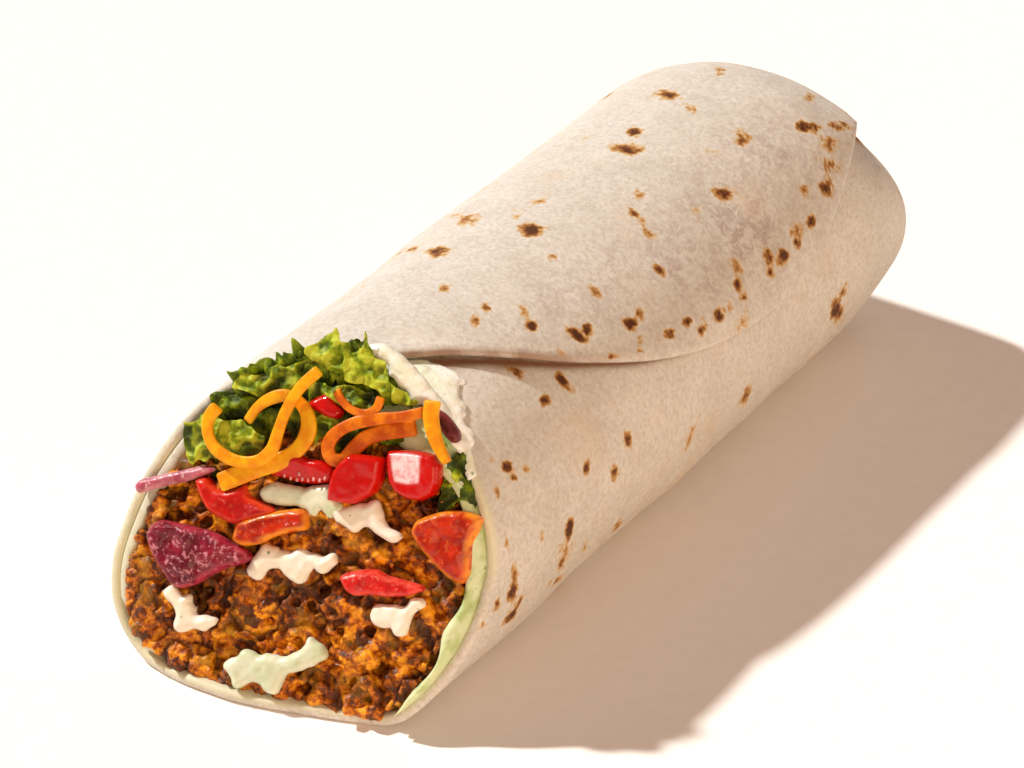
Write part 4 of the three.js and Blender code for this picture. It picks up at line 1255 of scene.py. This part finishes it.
# Cream: the lining on the right-hand wall, and dollops on the mince
LINING_FROM = -43.0
LINING_TO = 98.0
LINING_COLUMNS = 150
LINING_DEPTH = 96.0
LINING_INTO_SHEET = 0.3


def lining_thickness(turn):
    body = 1.3 + 4.2 * bell(turn, 68, 18) + 0.8 * bell(turn, 14, 14) + 1.9 * bell(turn, -10, 7)
    return body * smooth(-46, -32, turn) * (1 - smooth(84, 100, turn)) + 0.25


def cream_lining():
    front_edge = [0, 0.1, 0.4, 0.9, 1.5, 2.2, 3.0]
    depths = np.concatenate([front_edge, np.linspace(4, 16, 18), [24, 40, 70, LINING_DEPTH]])
    turn, along = np.meshgrid(np.linspace(LINING_FROM, LINING_TO, LINING_COLUMNS), depths)
    around = turn % 360
    wave = noise_over(5, 3, turn * 0.6, along * 0.5, 0)
    rounded = dome(along / 2.2) * dome(np.minimum(turn - LINING_FROM, LINING_TO - turn) / 5)
    thickness = lining_thickness(turn) * (1 + 0.22 * wave * smooth(0, 3, along))
    set_back = -2.2 + 0.9 * noise_over(7, 8, turn * 0.6, 0, 0)

    def face(share):
        depth = thickness * (0.5 + (share - 0.5) * rounded) - LINING_INTO_SHEET
        floor = inner_floor(around) + depth
        offset = inner_face_offset(around) - depth
        front = slanted_y(roll_point(around, FIRST_Y, offset, floor), set_back)
        return roll_point(around, front + along / LINING_DEPTH * (150 - front), offset, floor)

    return sheet_between(face(0.0), face(1.0))


new_piece("cream_on_wall", cream_lining(), CREAM_LINING, "cream_lining", "cream")


def slice_skin(
    corners, w, thick, edge, swell, seed, straight=0.0, tilt=(0, 0), size=0.26, grow=0.0, ragged=0.0
):
    """A piece with the outline read from the photograph: thickest in the middle, with a rounded edge.

    Its thickness falls to nothing over the width of its edge, and its surface swells by a little.
    """
    outline = smooth_outline(read_off(corners, w), straight=straight)
    way = np.roll(outline, -1, axis=0) - np.roll(outline, 1, axis=0)
    outward = np.column_stack([way[:, 1], -way[:, 0]]) / np.linalg.norm(way, axis=1, keepdims=True)
    turning = (outline[:, 0] * np.roll(outline[:, 1], -1) - outline[:, 1] * np.roll(outline[:, 0], -1)).sum()
    ragged = ragged * noise_over(1.4, seed + 5, *outline.T, seed * 2.0)
    outline = outline + outward * (grow + ragged)[:, None] * np.sign(turning)
    points, faces, _ = slab_between(outline, thick, size)
    distance = from_edge(points, outline)
    rounded = dome(distance / edge, 0.002)
    shifted = points + seed * 9
    bumps = 0.7 * value_noise(shifted, 2.8, seed) + 0.4 * value_noise(shifted, 1.2, seed + 1)
    points[:, 2] = points[:, 2] * (rounded * 0.92 + 0.08) + swell * bumps * smooth(0, edge, distance)
    points[:, 2] += lean_of(points, outline, tilt) + w
    return on_opening(points), faces, {"rim": 1 - smooth(0.2, 1.3, distance)}


# Cream that coats the rim, furthest back where the flap begins
COAT_FROM = 40.0
COAT_TO = 97.0
COAT_START = -0.9
COAT_LUMPS = 44


def coat_run(turn):
    """How far back from the rim the coat reaches."""
    return 0.6 + 9.2 * bell(turn, 71, 11) + 1.8 * bell(turn, 53, 9)


def rim_lumps():
    """Lumps of the coat, flattened against the sheet."""
    random = np.random.default_rng(23)
    ball, ball_faces = unit_ball(2)
    lumps = []
    while len(lumps) < COAT_LUMPS:
        turn = random.uniform(50, 93)
        y = rim_line(turn) + random.uniform(-0.8, coat_run(turn) - 0.4)
        size = random.uniform(0.7, 1.6)
        if turn > flap_edge(y) - 5:
            continue
        around = turn + ball[:, 0] * size / MM_PER_DEGREE
        lump = roll_point(around, y + ball[:, 1] * size, 0.15 + ball[:, 2] * size * 0.5, 0.0)
        lumps.append((lump, ball_faces, {}))
    return lumps


def rim_coat():
    turn, along = np.meshgrid(np.linspace(COAT_FROM, COAT_TO, 200), np.linspace(0, 1, 48))
    uneven = noise_over(2.6, 12, turn * 0.6, 0, 0)
    run = coat_run(turn) * (1 + 0.16 * uneven) + 0.5 * uneven
    y = rim_line(turn) + COAT_START + along * (run - COAT_START)
    behind_rim = y - rim_line(turn)
    thick = 0.3 + 0.5 * (1 - smooth(flap_edge(y) - 14, flap_edge(y) - 3, turn)) * smooth(40, 62, turn)
    thick = thick * (1 + 0.4 * noise_over(3.0, 14, turn * 0.6, y, 0))
    wrapped = 1.6 * (1 - dome((behind_rim - COAT_START) / 1.6))
    thick = thick * dome(run - behind_rim) * dome(np.minimum(turn - COAT_FROM, COAT_TO - turn) / 4)
    outer = roll_point(turn, y, thick - wrapped, 0.0)
    inner = roll_point(turn, y, np.minimum(thick - wrapped - 0.1, -1.2), 0.0)
    return sheet_between(outer, inner)


DOLLOPS = {
    # name: look, height w, thickness, outline
    "cream_dollop_1": (CREAM_GREEN, 0.0, 3.0, [
        (608, 735), (640, 700), (700, 702), (760, 716), (830, 700), (890, 702), (905, 760), (930, 800),
        (880, 830), (850, 800), (812, 828), (780, 790), (720, 782), (660, 776),
    ]),
    "cream_dollop_2": (CREAM, 0.0, 3.0, [
        (885, 790), (960, 792), (1030, 772), (1068, 765), (1084, 805), (1104, 862), (1150, 890),
        (1166, 908), (1138, 926), (1090, 906), (1044, 872), (1012, 862), (985, 884), (944, 868), (905, 832),
    ]),
    "cream_dollop_3": (CREAM, 0.2, 3.0, [
        (556, 1036), (590, 985), (622, 946), (656, 944), (690, 966), (730, 974), (762, 958), (812, 974),
        (850, 986), (895, 982), (902, 1010), (872, 1044), (838, 1040), (812, 1028), (790, 1062),
        (760, 1092), (728, 1074), (692, 1040), (664, 1022), (632, 1044), (600, 1072), (566, 1062),
    ]),
    "cream_dollop_4": (CREAM, 0.0, 2.8, [
        (220, 1122), (250, 1110), (290, 1148), (322, 1142), (334, 1190), (352, 1220), (392, 1226),
        (430, 1236), (404, 1260), (380, 1282), (340, 1272), (300, 1280), (264, 1270), (270, 1220),
        (254, 1180), (228, 1150),
    ]),
    "cream_dollop_5": (CREAM, 0.0, 2.8, [
        (1044, 1216), (1060, 1192), (1100, 1184), (1142, 1180), (1176, 1188), (1210, 1160), (1246, 1154),
        (1256, 1180), (1222, 1210), (1202, 1240), (1182, 1290), (1150, 1294), (1128, 1268), (1090, 1266),
        (1062, 1246),
    ]),
    "cream_dollop_6": (CREAM_GREEN, 0.2, 3.2, [
        (470, 1416), (510, 1390), (544, 1366), (584, 1376), (640, 1386), (700, 1386), (750, 1366),
        (788, 1344), (802, 1314), (834, 1330), (858, 1352), (862, 1386), (830, 1406), (790, 1426),
        (750, 1440), (712, 1456), (692, 1492), (668, 1530), (630, 1522), (600, 1492), (570, 1480),
        (540, 1492), (508, 1502), (490, 1472), (476, 1442),
    ]),
    "cream_on_rim": (CREAM_RIM, -2.3, 3.2, [
        (1030, 146), (1080, 140), (1130, 160), (1180, 200), (1236, 260), (1290, 322), (1340, 390),
        (1380, 460), (1352, 452), (1318, 420), (1290, 376), (1256, 366), (1216, 372), (1196, 330),
        (1150, 300), (1116, 262), (1122, 222), (1094, 210), (1056, 196), (1044, 172),
    ]),
}

for order, (name, (material, w, thick, corners)) in enumerate(DOLLOPS.items()):
    skin = slice_skin(corners, w, thick, 1.5, 0.32, 70 + order, size=0.24, grow=0.25, ragged=0.35)
    if name == "cream_on_rim":
        points, faces, _ = joined([valued(skin), rim_coat(), *rim_lumps()])
        skin = valued(remeshed(points, faces, 0.28, 4))
    new_piece(name + "_soft", skin, material, name, "cream")


# Cheese: flat strips that follow paths read from the enlarged photograph, each point with its height w
SHREDS = {
    # name: look, width at its two ends, path
    "cheese_shred_1": (CHEESE_BRIGHT, (2.2, 1.9), [
        (432, 384, 2.0), (398, 430, 2.4), (392, 490, 2.8), (424, 556, 3.2), (500, 602, 3.4),
        (588, 604, 3.6), (646, 560, 3.8), (672, 490, 3.9), (704, 404, 4.0), (760, 312, 4.0),
        (838, 240, 3.6),
    ]),
    "cheese_shred_2": (CHEESE_BRIGHT, (3.7, 1.7), [
        (436, 692, 1.8), (510, 662, 1.9), (600, 628, 2.0), (690, 600, 2.0), (756, 552, 2.0),
        (792, 490, 2.1), (790, 420, 2.1), (756, 368, 2.1), (700, 342, 2.0), (640, 356, 1.8),
        (590, 390, 1.4), (548, 448, 0.8),
    ]),
    "cheese_shred_3": (CHEESE_BRIGHT, (3.1, 1.5), [
        (1292, 362, 2.4), (1284, 420, 2.7), (1292, 480, 2.9), (1314, 546, 2.9), (1350, 612, 2.6),
    ]),
    "cheese_shred_4": (CHEESE_DEEP, (1.9, 2.8), [
        (1262, 408, 1.6), (1160, 428, 2.0), (1060, 436, 2.3), (970, 456, 2.4), (900, 496, 2.4),
        (872, 548, 2.2), (888, 594, 2.0), (936, 598, 1.5), (980, 552, 1.1), (1030, 510, 0.8),
        (1110, 486, 0.5), (1226, 470, 0.2),
    ]),
    "cheese_shred_5": (CHEESE_DEEP, (1.6, 1.4), [
        (906, 318, 1.8), (924, 356, 2.0), (964, 396, 2.2), (1020, 414, 2.3), (1066, 392, 2.3),
        (1084, 348, 2.2),
    ]),
}
SHRED_STEPS = 90
SHRED_THICK = 1.2


def smooth_path(path, count):
    """Even steps along a curve through the path's points."""
    path = np.array(path, float)
    padded = np.concatenate([[2 * path[0] - path[1]], path, [2 * path[-1] - path[-2]]])
    fine = []
    for corners in zip(padded, padded[1:], padded[2:], padded[3:]):
        fine += [curve_between(*corners, share) for share in np.linspace(0, 1, 24, endpoint=False)]
    fine = np.array([*fine, path[-1]])
    gone = np.concatenate([[0], np.cumsum(np.linalg.norm(np.diff(fine, axis=0), axis=1))])
    wanted = np.linspace(0, gone[-1], count)
    return np.stack([np.interp(wanted, gone, fine[:, axis]) for axis in range(3)], axis=-1), gone[-1]


def rounded_square(value, power):
    return np.sign(value) * np.abs(value) ** power


def shred_skin(path, width, seed):
    path = np.array(path, float)
    line, length = smooth_path(np.column_stack([read_off(path[:, :2], path[:, 2]), path[:, 2]]), SHRED_STEPS)
    along = np.gradient(line, axis=0)
    side = np.stack([-along[:, 1], along[:, 0], 0 * along[:, 0]], axis=-1)
    side /= np.linalg.norm(side, axis=1, keepdims=True)
    share = np.linspace(0, 1, len(line))
    gone = share * length
    ends = dome(np.minimum(share, 1 - share) * length / 0.5, 0.02)
    uneven = 1 + 0.1 * noise_over(5, seed, gone, 0, 0)
    half = lerp(width[0], width[1], share) / 2 * uneven * (0.8 + 0.2 * ends)
    lean = 0.25 * noise_over(9, seed + 1, gone, 0, 5)
    around = np.linspace(0, 2 * math.pi, 20, endpoint=False)
    rings = []
    for point, way, wide, end, tilt in zip(line, side, half, ends, lean):
        across = wide * rounded_square(np.cos(around), 0.5)
        out = SHRED_THICK / 2 * end * rounded_square(np.sin(around), 0.6)
        ring = point + across[:, None] * way
        ring[:, 2] += out + across * tilt
        rings.append(on_opening(ring))
    return lofted(rings)


for order, (name, (material, width, path)) in enumerate(SHREDS.items()):
    new_piece(name + "_strip", shred_skin(path, width, 90 + order), material, name, "cheese")


# Diced and sliced pieces
SLICES = {
    # name: look, slot, height w, thickness, rounded edge, swelling, how straight its sides are, tilt, outline
    "tomato_1": (TOMATO, "tomato", 1.0, 5.0, 0.9, 0.25, 0.75, (-10, 8), [
        (880, 760), (892, 690), (910, 640), (940, 602), (978, 574), (1040, 580), (1102, 592), (1096, 640),
        (1084, 690), (1060, 732), (1020, 756), (980, 776), (930, 772),
    ]),
    "tomato_2": (TOMATO, "tomato", 0.8, 5.0, 0.9, 0.25, 0.75, (8, 6), [
        (1112, 590), (1122, 562), (1190, 560), (1262, 566), (1310, 580), (1334, 620), (1330, 690),
        (1304, 740), (1250, 764), (1190, 756), (1146, 730), (1120, 690), (1112, 640),
    ]),
    "tomato_3": (TOMATO, "tomato", 0.0, 4.0, 1.3, 0.3, 0.3, (0, 20), [
        (640, 644), (662, 610), (720, 582), (762, 574), (806, 594), (860, 600), (912, 640), (900, 684),
        (830, 698), (760, 692), (700, 674), (652, 664),
    ]),
    "tomato_4": (TOMATO, "tomato", -0.4, 3.4, 1.2, 0.3, 0.5, (0, 0), [
        (786, 378), (836, 346), (892, 328), (908, 370), (938, 404), (922, 436), (878, 432), (826, 404),
    ]),
    "pepper_strip_left": (PEPPER_RED, "pepper", 0.2, 4.4, 1.4, 0.5, 0.3, (0, -8), [
        (346, 680), (392, 668), (440, 712), (500, 712), (548, 694), (566, 742), (620, 772), (680, 800),
        (640, 826), (570, 846), (510, 856), (450, 832), (400, 798), (366, 740),
    ]),
    "pepper_left": (PEPPER_ORANGE, "pepper", 0.8, 4.2, 1.3, 0.65, 0.3, (0, -6), [
        (500, 916), (516, 852), (560, 830), (620, 812), (690, 800), (742, 794), (784, 800), (802, 840),
        (790, 878), (730, 890), (664, 908), (604, 936), (540, 942),
    ]),
    "pepper_strip_right": (PEPPER_PINK, "pepper", 0.2, 3.8, 1.1, 0.7, 0.5, (0, -6), [
        (924, 1070), (950, 1050), (1010, 1038), (1070, 1038), (1112, 1062), (1180, 1080), (1250, 1102),
        (1258, 1122), (1200, 1142), (1120, 1148), (1050, 1140), (984, 1142), (950, 1122),
    ]),
    "pepper_right": (PEPPER_ORANGE, "pepper", 0.4, 4.6, 1.4, 0.75, 0.4, (-8, 6), [
        (1220, 884), (1240, 842), (1290, 818), (1360, 800), (1436, 806), (1490, 832), (1476, 880),
        (1452, 930), (1446, 1000), (1440, 1060), (1412, 1096), (1378, 1090), (1330, 1050), (1282, 992),
        (1244, 940),
    ]),
    "onion_wedge": (ONION, "onion", 0.8, 4.8, 1.5, 0.75, 0.5, (0, 6), [
        (154, 904), (174, 858), (214, 838), (284, 852), (352, 868), (424, 888), (488, 926), (552, 960),
        (572, 992), (540, 1014), (480, 1030), (420, 1054), (352, 1094), (292, 1114), (246, 1100),
        (212, 1044), (174, 974),
    ]),
    "onion_strip": (ONION_PALE, "onion", 0.0, 3.0, 1.0, 0.3, 0.3, (0, 0), [
        (104, 702), (130, 676), (200, 660), (290, 640), (380, 622), (426, 636), (400, 654), (330, 680),
        (250, 700), (180, 716), (120, 732),
    ]),
    "onion_piece": (ONION_DARK, "onion", -0.4, 3.2, 1.2, 0.3, 0.3, (0, 0), [
        (1304, 396), (1340, 412), (1374, 448), (1400, 490), (1402, 522), (1380, 536), (1344, 506),
        (1310, 452),
    ]),
}
HIGHLIGHT_CORNERS = [
    (1120, 572), (1190, 566), (1258, 580), (1254, 640), (1246, 696), (1190, 702), (1136, 690), (1124, 640),
]
SEED_LINE = [
    (700, 662), (724, 672), (748, 678), (772, 676), (796, 680), (820, 676), (844, 680), (866, 674),
    (760, 656),
]
SEED_HALVES = (0.26, 0.4, 0.16)


def painted_highlight_patch(local):
    """Where the front dice has a painted highlight: the pale patch of light on its top."""
    patch = smooth_outline(read_off(HIGHLIGHT_CORNERS, 2.6), straight=0.8)
    return within(local, patch) * smooth(0.0, 0.6, from_edge(local, patch)) * (local[:, 2] > 0.8)


def seeds_on(local):
    """Pale seeds in a row on the slice's top."""
    ball, ball_faces = unit_ball(2)
    for u, v in read_off(SEED_LINE, 1.4):
        near = np.hypot(local[:, 0] - u, local[:, 1] - v) < 0.5
        top = local[near, 2].max() if near.any() else 1.4
        yield on_opening(np.array([u, v, top]) + ball * SEED_HALVES), ball_faces, {"rim": 1.0, "pale": 0.55}


for order, (name, slice_form) in enumerate(SLICES.items()):
    material, slot, w, thick, edge, swell, straight, tilt, corners = slice_form
    skin = slice_skin(corners, w, thick, edge, swell, 110 + order, straight, tilt)
    local = from_opening(skin[0])
    # The painted highlight on the front dice
    skin[2]["pale"] = painted_highlight_patch(local) if name == "tomato_2" else np.zeros(len(local))
    if name == "tomato_3":
        skin = joined([skin, *seeds_on(local)])
    new_piece(name + "_cut", skin, material, name, slot)

# Floor, light and camera
FLOOR_HALF = 4.0
SUN_TRAVEL = (0.95, 0.11, -1.0)
SUN_STRENGTH = 4.05
SUN_SPREAD = 3.0
SUN_COLOUR = (1.0, 0.98, 0.92)
FILL_SIZE = (0.9, 0.7)
FILL_STRENGTH = 8.2
FILL_COLOUR = (1.0, 0.70, 0.42)
FILL_PLACE = Vector((0.85, -0.6, 0.25))
FILL_TARGET = Vector((0, 0.02, 0.03))
SURROUNDING = (1.0, 0.70, 0.58, 1)
SURROUNDING_STRENGTH = 0.355


def aim(thing, way):
    thing.rotation_euler = Vector(way).to_track_quat("-Z", "Y").to_euler()


floor_look = Look("pale_floor", Roughness=0.75, Specular_IOR_Level=0.2)
grain = floor_look.ranged(floor_look.noise(4, 3, 0.5), 0.3, 0.7)
floor_mesh = bpy.data.meshes.new("floor")
floor_corners = [(x * FLOOR_HALF, y * FLOOR_HALF, 0) for x, y in ((-1, -1), (1, -1), (1, 1), (-1, 1))]
floor_mesh.from_pydata(floor_corners, [], [(0, 1, 2, 3)])
floor_mesh.materials.append(floor_look.finish(floor_look.mix(grain, (0.90, 0.88, 0.87), (0.92, 0.90, 0.89))))
floor = in_scene("floor", floor_mesh)

sun = bpy.data.lights.new("key", "SUN")
sun.energy = SUN_STRENGTH
sun.angle = math.radians(SUN_SPREAD)
sun.color = SUN_COLOUR
aim(in_scene("key", sun), SUN_TRAVEL)

soft = bpy.data.lights.new("fill", "AREA")
soft.shape = "RECTANGLE"
soft.size, soft.size_y = FILL_SIZE
soft.energy = FILL_STRENGTH
soft.color = FILL_COLOUR
fill = in_scene("fill", soft)
fill.location = FILL_PLACE
aim(fill, FILL_TARGET - FILL_PLACE)

world = bpy.data.worlds.new("studio")
world.use_nodes = True
world.node_tree.nodes["Background"].inputs[0].default_value = SURROUNDING
world.node_tree.nodes["Background"].inputs[1].default_value = SURROUNDING_STRENGTH
bpy.context.scene.world = world
bpy.context.scene.view_settings.view_transform = "Standard"

lens = bpy.data.cameras.new("camera")
lens.sensor_width = SENSOR
lens.lens = FOCAL_PIXELS / PHOTO_WIDTH * SENSOR
lens.shift_x = -PICTURE_RIGHT / PHOTO_WIDTH
lens.shift_y = -PICTURE_UP / PHOTO_WIDTH
lens.clip_start = 0.01
lens.clip_end = 20
camera = in_scene("camera", lens)
camera.location = Vector((VIEW_TARGET + SHIFT + VIEW_DISTANCE * BACK) / 1000)
aim(camera, -BACK)
bpy.context.scene.camera = camera
